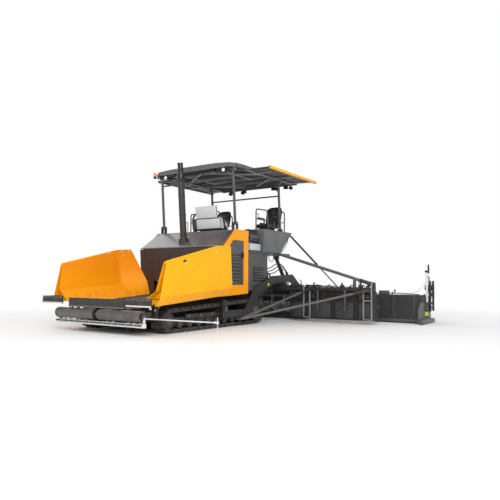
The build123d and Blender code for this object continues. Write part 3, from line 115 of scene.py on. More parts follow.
# %% Wires and finishes
class Wire:
    """An output socket that can be added, multiplied and compared with a number."""

    def __init__(self, finish, socket):
        self.finish = finish
        self.socket = socket

    def sum(self, operation, other, swap=False):
        """A Math node of two values."""
        first, second = (other, self) if swap else (self, other)
        return self.finish.node("ShaderNodeMath", {"operation": operation}, {0: first, 1: second})

    def __add__(self, other):
        return self.sum("ADD", other)

    __radd__ = __add__

    def __sub__(self, other):
        return self.sum("SUBTRACT", other)

    def __rsub__(self, other):
        return self.sum("SUBTRACT", other, swap=True)

    def __mul__(self, other):
        return self.sum("MULTIPLY", other)

    __rmul__ = __mul__

    def __gt__(self, other):
        return self.sum("GREATER_THAN", other)

    def ramp(self, low, high):
        """Nothing below low, one above high, and smooth between."""
        return self.finish.node("ShaderNodeMapRange", {"interpolation_type": "SMOOTHSTEP"},
                                {"Value": self, "From Min": low, "From Max": high})


class Finish:
    """A material with one Principled shader, written as sums."""

    def __init__(self, name):
        self.material = bpy.data.materials.new(name)
        self.material.use_nodes = True
        self.tree = self.material.node_tree
        self.shader = self.tree.nodes["Principled BSDF"]
        self.place = self.node("ShaderNodeTexCoord", out="Object")

    def put(self, socket, value):
        """A value, a colour or a wire into one socket."""
        if isinstance(value, Wire):
            self.tree.links.new(value.socket, socket)
        elif isinstance(value, tuple) and len(value) == 3 and socket.type == "RGBA":
            socket.default_value = (*value, 1)
        else:
            socket.default_value = value

    def node(self, kind, settings=None, inputs=None, out=0):
        """Any node: its settings first, then its sockets."""
        made = self.tree.nodes.new(kind)
        for name, value in (settings or {}).items():
            setattr(made, name, value)
        for name, value in (inputs or {}).items():
            self.put(made.inputs[name], value)
        return Wire(self, made.outputs[out])

    def noise(self, scale, detail=3, stretch=(1, 1, 1)):
        """Noise of a scale in lumps per metre, stretched along the axes."""
        place = self.node("ShaderNodeMapping", {"vector_type": "TEXTURE"},
                          {"Vector": self.place, "Scale": tuple(1 / s for s in stretch)})
        return self.node("ShaderNodeTexNoise", {}, {"Vector": place, "Scale": scale, "Detail": detail})

    def cells(self, scale):
        """Distance to the nearest point of a random scatter."""
        return self.node("ShaderNodeTexVoronoi", {}, {"Vector": self.place, "Scale": scale})

    def axis(self, index):
        """The place along one axis, in metres."""
        return self.node("ShaderNodeSeparateXYZ", {}, {0: self.place}, out=index)

    def mix(self, share, first, second):
        """Two colours mixed by a share."""
        made = self.tree.nodes.new("ShaderNodeMix")
        made.data_type = "RGBA"
        self.put(made.inputs[0], share)
        self.put(made.inputs[6], first)
        self.put(made.inputs[7], second)
        return Wire(self, made.outputs[2])

    def upward(self):
        """One on faces that look up, nothing on those that look sideways or down."""
        normal = self.node("ShaderNodeNewGeometry", out="Normal")
        return self.node("ShaderNodeSeparateXYZ", {}, {0: normal}, out=2).ramp(0.3, 0.95)

    def soft_edges(self, radius):
        """A normal that rounds the sharp edges by a radius."""
        return self.node("ShaderNodeBevel", {"samples": 4}, {"Radius": radius})

    def bump(self, height, depth, normal=None):
        """A height made a normal, with the depth of its relief in metres."""
        inputs = {"Height": height, "Distance": depth, "Strength": 1.0}
        if normal is not None:
            inputs["Normal"] = normal
        self.set("Normal", self.node("ShaderNodeBump", {}, inputs))

    def set(self, name, value):
        """One of the shader's own sockets."""
        self.put(self.shader.inputs[name], value)
        return self


print("wires and finishes ready")

# %% [markdown]
# Paint on a machine is never one flat colour. It is a shade darker where dust lies, dull where
# hands and boots rub it, and it has a fine orange-peel relief. One function makes every paint
# from its colour, its gloss and how much dust lies on it, so that all of them belong together.

# %% Paints
DUST = (0.3, 0.27, 0.24)


def paint(name, colour, rough, dust=0.25, peel=0.00003, coat=0.0, shade=0.82, shine=0.5):
    """A sprayed paint with a slightly uneven tone, dust on its upper faces and orange peel."""
    finish = Finish(name)
    patches = finish.noise(2.3, 4)
    specks = finish.noise(60, 2)
    dark = tuple(c * shade for c in colour)
    tone = finish.mix(patches.ramp(0.35, 0.68), dark, colour)
    dusty = finish.upward() * patches.ramp(0.3, 0.8) * dust
    finish.set("Base Color", finish.mix(dusty, tone, DUST))
    finish.set("Roughness", rough + 0.16 * patches + 0.1 * specks - 0.1)
    finish.set("Specular IOR Level", shine)
    finish.set("Coat Weight", coat)
    finish.set("Coat Roughness", 0.12)
    finish.bump(finish.noise(420, 1), peel, finish.soft_edges(0.004))
    return finish.material


YELLOW = (1.0, 0.455, 0.002)
# The colour below is painted shade: the deeper orange that the wings' inner faces show in shade.
INSIDE_SHADE_ORANGE = (1.0, 0.31, 0.002)
yellow_paint = paint("yellow paint", YELLOW, 0.36, dust=0.02, coat=0.06, shade=0.95, shine=0.22)
# A copy of the yellow paint with painted shade, a deeper yellow for the side panels and the wings' lips.
shaded_yellow_paint = paint("yellow paint with painted shade", (1.0, 0.37, 0.002), 0.36, dust=0.02, coat=0.06, shade=0.95,
                     shine=0.22)
wall_paint = paint("dark brown wall paint", (0.04, 0.033, 0.032), 0.42, dust=0.1)
tube_paint = paint("grey tube paint", (0.115, 0.115, 0.118), 0.34, dust=0.12)
black_paint = paint("black chassis paint", (0.035, 0.034, 0.034), 0.5, dust=0.22)
dark_paint = paint("dark grey paint", (0.085, 0.085, 0.088), 0.42, dust=0.12)
hood_paint = paint("brown grey hood paint", (0.105, 0.09, 0.085), 0.36, dust=0.22, coat=0.25)
rail_paint = paint("grey rail paint", (0.1, 0.105, 0.11), 0.36, dust=0.04)
edge_paint = paint("light edge paint", (0.3, 0.3, 0.3), 0.4, dust=0.05)
white_paint = paint("white bar paint", (0.78, 0.78, 0.76), 0.4, dust=0.15)
pale_paint = paint("pale grey paint", (0.42, 0.45, 0.48), 0.4, dust=0.05)
roof_skin = paint("grey roof skin", (0.12, 0.12, 0.122), 0.46, dust=0.1)
print("materials after the paints:", len(bpy.data.materials))

# %% [markdown]
# Bare steel that mix slides over is polished along the way it moves and brown where bitumen has
# dried on it. Chrome rods are nearly a mirror. Both are metals, so their colour is in the shine.

# %% Steels
def worn_steel(name, colour, stretch, tar=0.5):
    """Steel rubbed one way, with dried bitumen on part of it."""
    finish = Finish(name)
    rubbed = finish.noise(30, 3, stretch)
    stains = finish.noise(3.2, 5).ramp(0.42, 0.66)
    bright = finish.mix(rubbed, tuple(c * 0.7 for c in colour), tuple(min(1, c * 1.2) for c in colour))
    finish.set("Base Color", finish.mix(stains * tar, bright, (0.05, 0.042, 0.036)))
    finish.set("Metallic", 0.85 - stains * (tar * 0.8))
    finish.set("Roughness", 0.34 + 0.2 * rubbed + 0.2 * stains)
    finish.bump(rubbed, 0.0002, finish.soft_edges(0.003))
    return finish.material


roller_steel = worn_steel("rubbed roller steel", (0.2, 0.185, 0.18), (0.08, 1, 1), 0.35)
floor_steel = worn_steel("conveyor floor steel", (0.3, 0.27, 0.25), (1, 0.08, 1), 0.8)
auger_steel = worn_steel("auger steel", (0.3, 0.29, 0.28), (1, 1, 1), 0.6)


def plain_metal(name, colour, rough):
    """A clean metal with a faint cloudiness."""
    finish = Finish(name)
    cloud = finish.noise(18, 2)
    finish.set("Base Color", finish.mix(cloud, tuple(c * 0.85 for c in colour), colour))
    finish.set("Metallic", 1.0)
    finish.set("Roughness", rough + 0.08 * cloud)
    return finish.material


chrome = plain_metal("chromed rod", (0.72, 0.73, 0.75), 0.09)
zinc = plain_metal("zinc plated fastener", (0.62, 0.62, 0.6), 0.3)
cast_iron = worn_steel("engine iron", (0.2, 0.2, 0.21), (1, 1, 1), 0.7)
print("materials after the steels:", len(bpy.data.materials))

# %% [markdown]
# Rubber has almost no shine and a fine grain. Track pads are greyed by the road, hoses are
# smoother, and the flaps lie between the two.

# %% Rubbers and plastics
def rubber(name, colour, rough, grain, dust=0.3):
    """A black rubber or plastic with a fine grain and some road dust."""
    finish = Finish(name)
    lumps = finish.noise(grain, 3)
    worn = finish.noise(5, 4).ramp(0.4, 0.75)
    finish.set("Base Color", finish.mix(worn * dust, colour, (0.17, 0.155, 0.14)))
    finish.set("Roughness", rough + 0.15 * lumps)
    finish.bump(lumps, 0.0004, finish.soft_edges(0.003))
    return finish.material


track_rubber = rubber("track rubber", (0.03, 0.03, 0.03), 0.7, 90, 0.5)
flap_rubber = rubber("flap rubber", (0.02, 0.02, 0.02), 0.5, 120, 0.25)
hose_rubber = rubber("hose rubber", (0.014, 0.014, 0.015), 0.34, 300, 0.1)
console_plastic = rubber("console plastic", (0.045, 0.045, 0.048), 0.5, 400, 0.1)
seat_leather = rubber("black seat cover", (0.018, 0.018, 0.02), 0.4, 260, 0.12)
glossy_black = rubber("glossy black plastic", (0.012, 0.012, 0.013), 0.16, 40, 0.02)
white_plastic = rubber("white plastic", (0.72, 0.73, 0.74), 0.35, 200, 0.05)
print("materials after the rubbers:", len(bpy.data.materials))

# %% [markdown]
# Each solid of the frame already has a slot name in the record, so a short table sends every slot
# to its finish. A solid's mesh is never changed, only the material in its slots. The same table,
# read backwards, gives each finish its usual slot.

# %% Finishes of the imported solids
SLOT_FINISH = {
    "black_paint": black_paint, "dark_grey_paint": dark_paint, "yellow_paint": yellow_paint,
    "hood_brown": hood_paint, "roof_grey": roof_skin, "white_paint": white_paint,
    "rail_paint": rail_paint, "worn_steel": floor_steel, "chrome_rod": chrome,
    "engine_grey": cast_iron, "track_rubber": track_rubber, "flap_rubber": flap_rubber,
    "hose_rubber": hose_rubber, "seat_black": seat_leather, "console_plastic": console_plastic,
    "lamp_black": glossy_black,
}
USUAL_SLOT = {finish.name: slot for slot, finish in SLOT_FINISH.items()}
for finish, like in ((zinc, chrome), (roller_steel, floor_steel), (auger_steel, floor_steel),
                     (shaded_yellow_paint, yellow_paint), (wall_paint, hood_paint), (white_plastic, white_paint),
                     (edge_paint, rail_paint), (pale_paint, rail_paint)):
    USUAL_SLOT[finish.name] = USUAL_SLOT[like.name]
NODE_FINISH = {
    "push_roller_left": roller_steel, "push_roller_right": roller_steel,
    "auger_left": auger_steel, "auger_right": auger_steel,
    # The side panels get the yellow paint with painted shade.
    "brace_tubes": tube_paint, "side_panels": shaded_yellow_paint, "hopper_rear_wall": wall_paint,
}


def cover(piece, material):
    """One material all over a piece."""
    piece.data.materials.clear()
    piece.data.materials.append(material)


for entry in frame["record"]["subparts"]:
    node = entry["node"]
    cover(frame["nodes"][node], NODE_FINISH.get(node, SLOT_FINISH[entry["material_slot"]]))

# %% [markdown]
# Every added piece is modelled as by hand: a primitive at its size and place, then edit mode for
# its edges, then a join. A few small tools hold those steps. Each one first empties the selection,
# because an operator acts on all that is selected. A place is three numbers, counted from the
# rollers' axis like all the others, or a Vector where it is already in the frame.

# %% Modelling tools
BEVEL_ANGLE = math.radians(35)
SMOOTH_ANGLE = math.radians(32)


def framed(place):
    """A place in the frame, from three numbers or a Vector."""
    return place if isinstance(place, Vector) else spot(*place)


def alone(*pieces):
    """Nothing selected but these pieces, the first of them active."""
    bpy.ops.object.select_all(action="DESELECT")
    for piece in pieces:
        piece.select_set(True)
    if pieces:
        bpy.context.view_layer.objects.active = pieces[0]


def settle():
    """The active piece's place, turn and size moved into its mesh."""
    bpy.ops.object.transform_apply(location=True, rotation=True, scale=True)
    return bpy.context.object


def soften(piece, width):
    """The sharp edges rounded by a bevel, which is applied."""
    if not width:
        return piece
    alone(piece)
    bevel = piece.modifiers.new("soft", "BEVEL")
    bevel.width = width
    bevel.segments = 2
    bevel.limit_method = "ANGLE"
    bevel.angle_limit = BEVEL_ANGLE
    bpy.ops.object.modifier_apply(modifier=bevel.name)
    return piece


def slab(low, high, edge=0.003):
    """A block between two corners with rounded edges."""
    alone()
    low, high = framed(low), framed(high)
    bpy.ops.mesh.primitive_cube_add(size=1, location=(low + high) / 2)
    bpy.context.object.scale = [abs(side) for side in high - low]
    return soften(settle(), edge)


def slabs(edge, *rows):
    """Blocks with one kind of edge, each from the six numbers of its two corners."""
    return [slab(row[:3], row[3:], edge) for row in rows]


def drum(start, end, radius, sides=20, edge=0.0, taper=None):
    """A round piece from one place to another, or a cone if it tapers."""
    alone()
    start, end = framed(start), framed(end)
    way = end - start
    far = radius if taper is None else taper
    bpy.ops.mesh.primitive_cone_add(vertices=sides, radius1=radius, radius2=far, depth=way.length,
                                    location=(start + end) / 2,
                                    rotation=way.to_track_quat("Z", "Y").to_euler())
    return soften(settle(), edge)


def rod(axis, place, end, radius, sides=20, edge=0.0):
    """A drum along one axis, from a place to where it ends on that axis."""
    far = list(place)
    far["xyz".index(axis)] = end
    return drum(place, far, radius, sides, edge)


def sheet_cut(points, thick, edge=0.0):
    """A plate of any outline: a filled ring, its points placed, then extruded."""
    alone()
    bpy.ops.mesh.primitive_circle_add(vertices=len(points), radius=1, fill_type="NGON")
    piece = bpy.context.object
    for corner, point in zip(piece.data.vertices, points):
        corner.co = framed(point)
    bpy.ops.object.mode_set(mode="EDIT")
    bpy.ops.mesh.select_all(action="SELECT")
    bpy.ops.mesh.extrude_region_move(TRANSFORM_OT_translate={"value": tuple(thick)})
    outward_faces()
    return soften(piece, edge)


def outward_faces():
    """All normals of the piece in edit mode turned outwards, and back to object mode."""
    bpy.ops.mesh.select_all(action="SELECT")
    bpy.ops.mesh.normals_make_consistent(inside=False)
    bpy.ops.object.mode_set(mode="OBJECT")


def curve(name, points, radius, rings, steps, smooth=True):
    """An open curve with a round section and closed ends: the piece and its spline."""
    line = bpy.data.curves.new(name, "CURVE")
    line.dimensions = "3D"
    line.bevel_depth = radius
    line.bevel_resolution = rings
    line.use_fill_caps = True
    line.resolution_u = steps
    spline = line.splines.new("NURBS" if smooth else "POLY")
    spline.points.add(len(points) - 1)
    for corner, point in zip(spline.points, points):
        corner.co = (*framed(point), 1)
    if smooth:
        spline.order_u = 3
        spline.use_endpoint_u = True
    piece = bpy.data.objects.new(name, line)
    bpy.context.collection.objects.link(piece)
    return piece, spline


def bent_tube(points, radius, sides=10, smooth=False):
    """A tube along a route: a curve turned into a mesh."""
    alone(curve("route", points, radius, max(1, sides // 4 - 1), 6, smooth)[0])
    bpy.ops.object.convert(target="MESH")
    return bpy.context.object


def joined(pieces):
    """Several pieces made one mesh."""
    alone(*pieces)
    if len(pieces) > 1:
        bpy.ops.object.join()
    return bpy.context.object


def copied(piece, place, turn=0.0):
    """A copy with its own mesh, turned about the machine's width and moved to its place."""
    alone(piece)
    bpy.ops.object.duplicate(linked=False)
    bpy.context.object.rotation_euler = (turn, 0, 0)
    bpy.context.object.location = place
    return settle()


def mirrored(piece):
    """A copy with its own mesh on the machine's other side."""
    alone(piece)
    bpy.ops.object.duplicate(linked=False)
    bpy.context.object.scale = (-1, 1, 1)
    twin = settle()
    bpy.ops.object.mode_set(mode="EDIT")
    outward_faces()
    return twin


def declare(piece, finish, body, nodes):
    """A piece's finish, the body it rides on, and the imported nodes it stands for, which are hidden."""
    cover(piece, finish)
    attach(piece, body)
    if nodes:
        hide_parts(*nodes)


def fit(piece, name, finish, body="root", nodes=()):
    """A finished piece, or a list of parts that are joined first, gets its name and is declared."""
    if isinstance(piece, list):
        piece = joined(piece)
    alone(piece)
    settle()
    bpy.ops.object.shade_smooth_by_angle(angle=SMOOTH_ANGLE)
    piece.name = name
    piece.data.name = name
    declare(piece, finish, body, nodes)
    return piece


def fit_pair(piece, name, finish, body="root", nodes=()):
    """A left piece and its mirror image, each on its own side's body where there are two."""
    if isinstance(piece, list):
        piece = joined(piece)
    twin = mirrored(piece)
    return [fit(one, f"{name}_{side}", finish, body.replace("SIDE", side), nodes)
            for side, one in (("left", piece), ("right", twin))]


def bolt_heads(places, way, size=0.012):
    """Bolt heads with a washer each: one is modelled, and copied to every place."""
    way = Vector(way).normalized()
    places = [framed(place) for place in places]
    first = places[0]
    washer = drum(first, first + way * size * 0.25, size * 1.15, 14)
    head = drum(first + way * size * 0.25, first + way * size * 0.95, size * 0.85, 6)
    model = joined([head, washer])
    return joined([model, *[copied(model, place - first) for place in places[1:]]])


print("tools ready")

# %% [markdown]
# The hopper, its floor and its rear wall all lean back by 4.2 degrees. Their details are drawn in
# the hopper's own level frame, and one function carries them over.

# %% Places in the hopper
LEAN = math.radians(4.2)
FLOOR_HIGH = 0.505


def in_hopper(x, y, z):
    """A place in the machine's frame from one in the hopper's tilted frame."""
    return spot(x, y * math.cos(LEAN) - z * math.sin(LEAN),
                FLOOR_HIGH + y * math.sin(LEAN) + z * math.cos(LEAN))


HOPPER_FRONT = in_hopper(0, -1, 0) - in_hopper(0, 0, 0)
print("the hopper's front looks to", [round(v, 3) for v in HOPPER_FRONT])

# %% [markdown]
# The wings are yellow outside. Their inner faces are painted a deeper orange as painted shade,
# which shifts towards yellow lower down, and mix leaves a brown tide line near the floor. A face
# belongs to the inside where it looks towards the machine's middle, so the mask multiplies the
# normal's x by the place's x.

# %% Paint of the wings
def wing_finish():
    """Yellow outside; inside a painted shade of orange that changes with height, and brown stains near the
    floor.
    """
    finish = Finish("hopper wing paint")
    normal = finish.node("ShaderNodeNewGeometry", out="Normal")
    across_way = finish.node("ShaderNodeSeparateXYZ", {}, {0: normal}, out=0)
    inside = (across_way * finish.axis(0) * -1).ramp(0.02, 0.25)
    height = finish.axis(2)
    patches = finish.noise(2.0, 5)
    smears = finish.noise(7, 5, (1, 1, 0.25))
    # Painted shade on the inner faces: a deeper orange higher up that shifts towards yellow lower down.
    deep = (1.25 - height).ramp(-0.15, 0.3)
    orange = finish.mix(deep * 0.7, INSIDE_SHADE_ORANGE, (1.0, 0.4, 0.002))
    tone = finish.mix(inside, finish.mix(patches.ramp(0.35, 0.7), (0.95, 0.42, 0.002), YELLOW), orange)
    tide = (0.88 - height).ramp(0.0, 0.25) * inside * smears.ramp(0.42, 0.62)
    finish.set("Base Color", finish.mix(tide * 0.22, tone, (0.16, 0.085, 0.03)))
    finish.set("Roughness", 0.36 + 0.22 * inside * smears)
    finish.set("Specular IOR Level", 0.22)
    finish.bump(patches * 0.6 + smears * 0.4, 0.0006, finish.soft_edges(0.005))
    return finish.material


wing_paint = wing_finish()
USUAL_SLOT[wing_paint.name] = "yellow_paint"
for side in ("left", "right"):
    cover(frame["nodes"][f"hopper_wing_{side}"], wing_paint)
print("wings painted")

# %% [markdown]
# A wing is folded from plate, so its edge is a rolled bar, its folds carry weld beads, and its
# outer skin is stiffened by a pressed frame. Round white studs stand along the rim, where a
# cover can be tied down.

# %% Rims, welds and studs of the wings
RIM_LINE = [in_hopper(1.508, 0.325, 0.838), in_hopper(1.51, 1.86, 1.086), in_hopper(1.51, 2.322, 1.086)]
CORNER_LINE = [in_hopper(0.925, 1.86, 0.012), in_hopper(1.383, 1.86, 0.312), in_hopper(1.492, 1.86, 1.075)]
FOLD_LINE = [in_hopper(1.383, 0.16, 0.314), in_hopper(1.383, 1.86, 0.314)]
STUDS = ((1.487, 0.86, 0.905), (1.49, 1.62, 1.025), (1.482, 2.0, 1.05),
         (1.468, 2.04, 0.955), (1.487, 2.24, 1.06))

fit_pair(bent_tube(RIM_LINE, 0.018, 12), "wing_rim", yellow_paint, "wing_SIDE")
welds = [bent_tube(line, 0.006, 8) for line in (CORNER_LINE, FOLD_LINE)]
fit_pair(welds, "wing_welds", wing_paint, "wing_SIDE")
studs = [drum(in_hopper(x + 0.006, y, z), in_hopper(x - 0.016, y, z + 0.004), 0.02, 16, 0.003)
         for x, y, z in STUDS]
fit_pair(studs, "wing_studs", white_plastic, "wing_SIDE")
print("studs on each wing:", len(STUDS))

# %% [markdown]
# The outer skin has a pressed seam near its rear edge, a folded lip at its foot that is painted a
# deeper yellow as painted shade, a small latch and a row of flat bolts. The places where the real
# machine is lettered stay bare.

# %% Outer skins of the wings
SKIN_X = 1.53


def skin_plate(y0, y1, z0, z1, stand=0.004):
    """A thin plate on the wing's outer skin."""
    corners = [in_hopper(SKIN_X, y, z) for y, z in ((y0, z0), (y1, z0), (y1, z1), (y0, z1))]
    return sheet_cut(corners, (stand, 0, 0), 0.0015)


fit_pair([skin_plate(2.2, 2.212, 0.19, 1.05), skin_plate(0.7, 0.712, 0.19, 0.86)], "wing_skin_seams",
         yellow_paint, "wing_SIDE")
fit_pair([skin_plate(0.77, 0.86, 0.815, 0.84, 0.012), skin_plate(0.8, 0.83, 0.825, 0.862, 0.016)],
         "wing_skin_latch", glossy_black, "wing_SIDE")
# The lip gets the yellow paint with painted shade, for the shade under its fold.
fit_pair(skin_plate(0.2, 2.325, 0.178, 0.2, 0.006), "wing_skin_lip", shaded_yellow_paint, "wing_SIDE")
dots = [drum(in_hopper(SKIN_X, y, z), in_hopper(SKIN_X + 0.009, y, z), 0.016, 16, 0.002)
        for y, z in ((1.82, 0.966), (0.84, 0.8))]
fit_pair(dots, "wing_skin_dots", white_plastic, "wing_SIDE")
skin_bolts = [in_hopper(SKIN_X, 2.27, 0.25 + 0.2 * i) for i in range(5)]
skin_bolts += [in_hopper(SKIN_X, 0.55 + 0.4 * i, 0.235) for i in range(4)]
fit_pair(bolt_heads(skin_bolts, (1, 0, 0), 0.01), "wing_skin_bolts", zinc, "wing_SIDE")
print("skins dressed")

# %% [markdown]
# Rubber flaps close the gap between the wings and the truck. A pale steel strip clamps each flap
# at its foot, with a bolt every hand's width.

# %% Strips of the flaps and the apron
low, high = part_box("wing_flap_left")
foot = slab(low + Vector((0.01, -0.0005, 0)), Vector((high.x - 0.02, low.y + 0.006, low.z + 0.028)), 0.002)
clamp = slab(Vector((low.x + 0.01, low.y - 0.0005, high.z - 0.034)),
             Vector((high.x - 0.03, low.y + 0.002, high.z - 0.012)), 0.002)
fit_pair(foot, "flap_foot", white_paint, "wing_SIDE")
fit_pair(clamp, "flap_clamp", dark_paint, "wing_SIDE")
flap_bolts = [Vector((low.x + 0.06 + 0.13 * i, low.y + 0.0075, high.z - 0.023)) for i in range(5)]
fit_pair(bolt_heads(flap_bolts, (0, -1, 0), 0.009), "flap_bolts", zinc, "wing_SIDE")

low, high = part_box("front_apron")
edge = slab(low + Vector((0, 0.001, -0.001)), Vector((high.x, low.y + 0.03, low.z + 0.024)), 0.004)
ribs = [slab(Vector((x - 0.012, low.y + 0.03, low.z + 0.02)),
             Vector((x + 0.012, low.y + 0.042, high.z - 0.02)))
        for x in (-0.6, -0.3, 0.0, 0.3, 0.6)]
fit(edge, "apron_edge", edge_paint, "front_apron")
fit(ribs, "apron_ribs", black_paint, "front_apron")
print("flaps and apron dressed")

# %% [markdown]
# The conveyor floor shows two chains of rollers with flight bars between them. The bars are in the
# solid already, so the links are one small shape that is repeated along each chain.

# %% Conveyor chains
LINK_PITCH = 0.1
LINK_COUNT = 46
CHAIN_X = (0.12, 0.77)
link = [slab(Vector((-0.012, -0.044, -0.004)), Vector((0.012, 0.044, 0.01)))]
link += [drum(Vector((-0.02, y, 0.003)), Vector((0.02, y, 0.003)), 0.01, 8) for y in (-0.03, 0.03)]
link = joined(link)
chain_places = [in_hopper(x, 0.12 + LINK_PITCH * i, 0.0) for x in CHAIN_X for i in range(LINK_COUNT)]
links = [copied(link, place, LEAN) for place in chain_places]
bpy.data.objects.remove(link)
fit_pair(links, "conveyor_chains", floor_steel)
print("links on each side:", len(chain_places))

# %% [markdown]
# The rear wall is bolted together from plates. Two seams run up it, and its bolts sit in rows
# beside the seams and along the top, where the hood's flange rests.

# %% Rear wall and hood
WALL_Y = 2.338
SEAM_X = 0.84
wall_seams = []
SEAM_LINE = ((-0.02, 0.36), (0.02, 0.36), (0.02, 1.07), (-0.02, 1.07))
for x in (-SEAM_X, -0.3, 0.3, SEAM_X):
    corners = [in_hopper(x + dx, WALL_Y, z) for dx, z in SEAM_LINE]
    wall_seams.append(sheet_cut(corners, HOPPER_FRONT * 0.006, 0.001))
fit(wall_seams, "wall_seams", wall_paint)
places = [in_hopper(x + dx, WALL_Y, 0.42 + 0.15 * i) for x in (-SEAM_X, SEAM_X) for dx in (-0.045, 0.045)
          for i in range(5)]
places += [in_hopper(-1.15 + 0.23 * i, WALL_Y, 1.05) for i in range(11)]
fit(bolt_heads(places, HOPPER_FRONT), "wall_bolts", dark_paint)

HOOD_HALF = 1.185
edges = [bent_tube([(-HOOD_HALF, y, z), (HOOD_HALF, y, z)], radius, 8)
         for y, z, radius in ((2.27, 1.792, 0.008), (2.88, 2.186, 0.005))]
fit(edges, "hood_edges", edge_paint)
print("hood's edges:", len(edges))

# %% [markdown]
# Two rollers push the truck that brings the mix. Each runs in side arms and shows a rolled band near
# its ends. The arms carry round bearing caps, and the white bar below them has small brackets.

# %% Push rollers and the white bar
ROLLER_HIGH = 0.363
BAR_TOP = 0.232
bands = [rod("x", (x, 0, ROLLER_HIGH), x + 0.018, 0.1065, 40, 0.001) for x in (0.085, 0.125, 1.12, 1.16)]
fit_pair(bands, "push_roller_bands", roller_steel, "push_roller_SIDE")
caps = [rod("x", (s * 1.226, 0, ROLLER_HIGH), s * 1.238, 0.048, 28, 0.003) for s in (-1, 1)]
fit(caps, "push_bearing_caps", dark_paint, "push_beam")
middle = [slab((x - 0.014, -0.062, 0.322), (x + 0.014, -0.052, 0.404)) for x in (-0.032, 0.032)]
middle.append(rod("x", (-0.046, -0.075, ROLLER_HIGH), 0.046, 0.014, 16, 0.002))
fit(middle, "push_middle_bracket", black_paint, "push_beam")
clips = []
for x in (-1.16, -0.98, -0.82, -0.34, 0.28, 0.44, 0.86, 1.0, 1.16):
    clips.append(slab((x - 0.025, -0.03, BAR_TOP), (x + 0.025, 0.02, BAR_TOP + 0.016)))
    clips.append(rod("z", (x, -0.008, BAR_TOP + 0.016), BAR_TOP + 0.03, 0.012, 6, 0.001))
fit(clips, "bar_clips", pale_paint, "push_beam")
# Black strips along the white bar's face are painted shade in its recess.
recess_shade = [slab((-1.235 + 0.206 * i, -0.0475, 0.19), (-1.045 + 0.206 * i, -0.04, 0.222), 0.001)
          for i in range(12)]
fit(recess_shade, "bar_recess_shade", black_paint, "push_beam")
face_bolts = [(-1.1 + 0.2 * i, -0.045, 0.2) for i in range(12)]
fit(bolt_heads(face_bolts, (0, -1, 0), 0.009), "bar_bolts", zinc, "push_beam")
print("clips on the bar:", len(clips) // 2)

# %% [markdown]
# The steering guide is a thin white rod that the driver follows along a line on the ground. It has
# a clamp with a wing screw at each end, and the drop rod ends in a ball.

# %% Steering guide
GUIDE_X = 2.898
GUIDE_HIGH = 0.345
guide = [rod("x", (x - 0.018, 0, z), x + 0.018, 0.019, 16, 0.003)
         for x, z in ((1.262, 0.333), (2.84, GUIDE_HIGH))]
guide.append(rod("y", (GUIDE_X, -0.018, GUIDE_HIGH), -0.042, 0.01, 12, 0.002))
guide.append(slab((GUIDE_X - 0.018, -0.046, GUIDE_HIGH - 0.004),
                  (GUIDE_X + 0.018, -0.04, GUIDE_HIGH + 0.004), 0.002))
alone()
bpy.ops.mesh.primitive_uv_sphere_add(segments=16, ring_count=10, radius=0.011,
                                     location=spot(GUIDE_X, 0, 0.04))
guide.append(settle())
fit(guide, "guide_clamps", white_paint, "push_beam")
print("parts of the guide:", len(guide))

# %% [markdown]
# At the nose a yellow towing eye stands at each side, with a small round lamp inboard of it. The
# eye is a forged ring, so it is a torus round the bore that the solid already has.

# %% Towing eyes and nose lamps
EYE_Y = 0.32
LAMP_X = 1.13
LAMP_Y = EYE_Y - 0.022
alone()
bpy.ops.mesh.primitive_torus_add(location=spot(1.228, EYE_Y, 0.468), rotation=(0, math.pi / 2, 0),
                                 major_radius=0.037, minor_radius=0.0115, major_segments=32,
                                 minor_segments=12)
eye = [settle(), slab((1.216, EYE_Y - 0.03, 0.43), (1.24, EYE_Y + 0.03, 0.446))]
fit_pair(eye, "towing_eye", yellow_paint)
shell = rod("y", (LAMP_X, LAMP_Y, 0.5), LAMP_Y - 0.034, 0.042, 28, 0.004)
foot = slab((LAMP_X - 0.008, LAMP_Y - 0.012, 0.428), (LAMP_X + 0.008, LAMP_Y, 0.47), 0.002)
lens = rod("y", (LAMP_X, LAMP_Y - 0.034, 0.5), LAMP_Y - 0.04, 0.034, 28, 0.002)
fit_pair([shell, foot], "nose_lamp", glossy_black)
nose_lenses = fit_pair(lens, "nose_lamp_glass", white_plastic)
print("nose dressed")

# %% [markdown]
# A track is a loop of steel shoes with rubber pads. The solid has the belt and the pads, so each
# shoe here is one plate with its four bolts, modelled once. Its copies are set out along the
# belt's line: two straight runs and an arc round each wheel.

# %% Line of the belt
IDLER = (0.735, 0.237, 0.195)
SPROCKET = (3.79, 0.3, 0.258)
SHOE_COUNT = 43


def belt_line():
    """Length of the belt, and a function from a length to (y, z) and the outward angle."""
    (y0, z0, r0), (y1, z1, r1) = IDLER, SPROCKET
    reach = math.hypot(y1 - y0, z1 - z0)
    top = math.pi / 2 + math.atan2(z1 - z0, y1 - y0) + math.asin((r1 - r0) / reach)
    upper = math.sqrt(reach ** 2 - (r1 - r0) ** 2)
    runs = [y1 - y0, r1 * (top + math.pi / 2), upper, r0 * (1.5 * math.pi - top)]

    def on_wheel(wheel, angle):
        """Place and outward angle on a wheel's rim."""
        y, z, radius = wheel
        return y + radius * math.cos(angle), z + radius * math.sin(angle), angle

    def at(length):
        """Place and outward angle at a length along the belt."""
        if length < runs[0]:
            return y0 + length, z0 - r0, -math.pi / 2
        length -= runs[0]
        if length < runs[1]:
            return on_wheel(SPROCKET, -math.pi / 2 + length / r1)
        length -= runs[1]
        if length < runs[2]:
            share = length / runs[2]
            ends = zip(on_wheel(SPROCKET, top), on_wheel(IDLER, top))
            return [a + share * (b - a) for a, b in ends]
        return on_wheel(IDLER, top + (length - runs[2]) / r0)

    return sum(runs), at


belt_length, belt_at = belt_line()
print("belt in metres:", round(belt_length, 3))

# %% [markdown]
# A shoe is a short plate bolted across the chain, with its rubber pad on it. An array on a curve
# would do as well, but copies set out by a count close the loop without a gap at its seam.

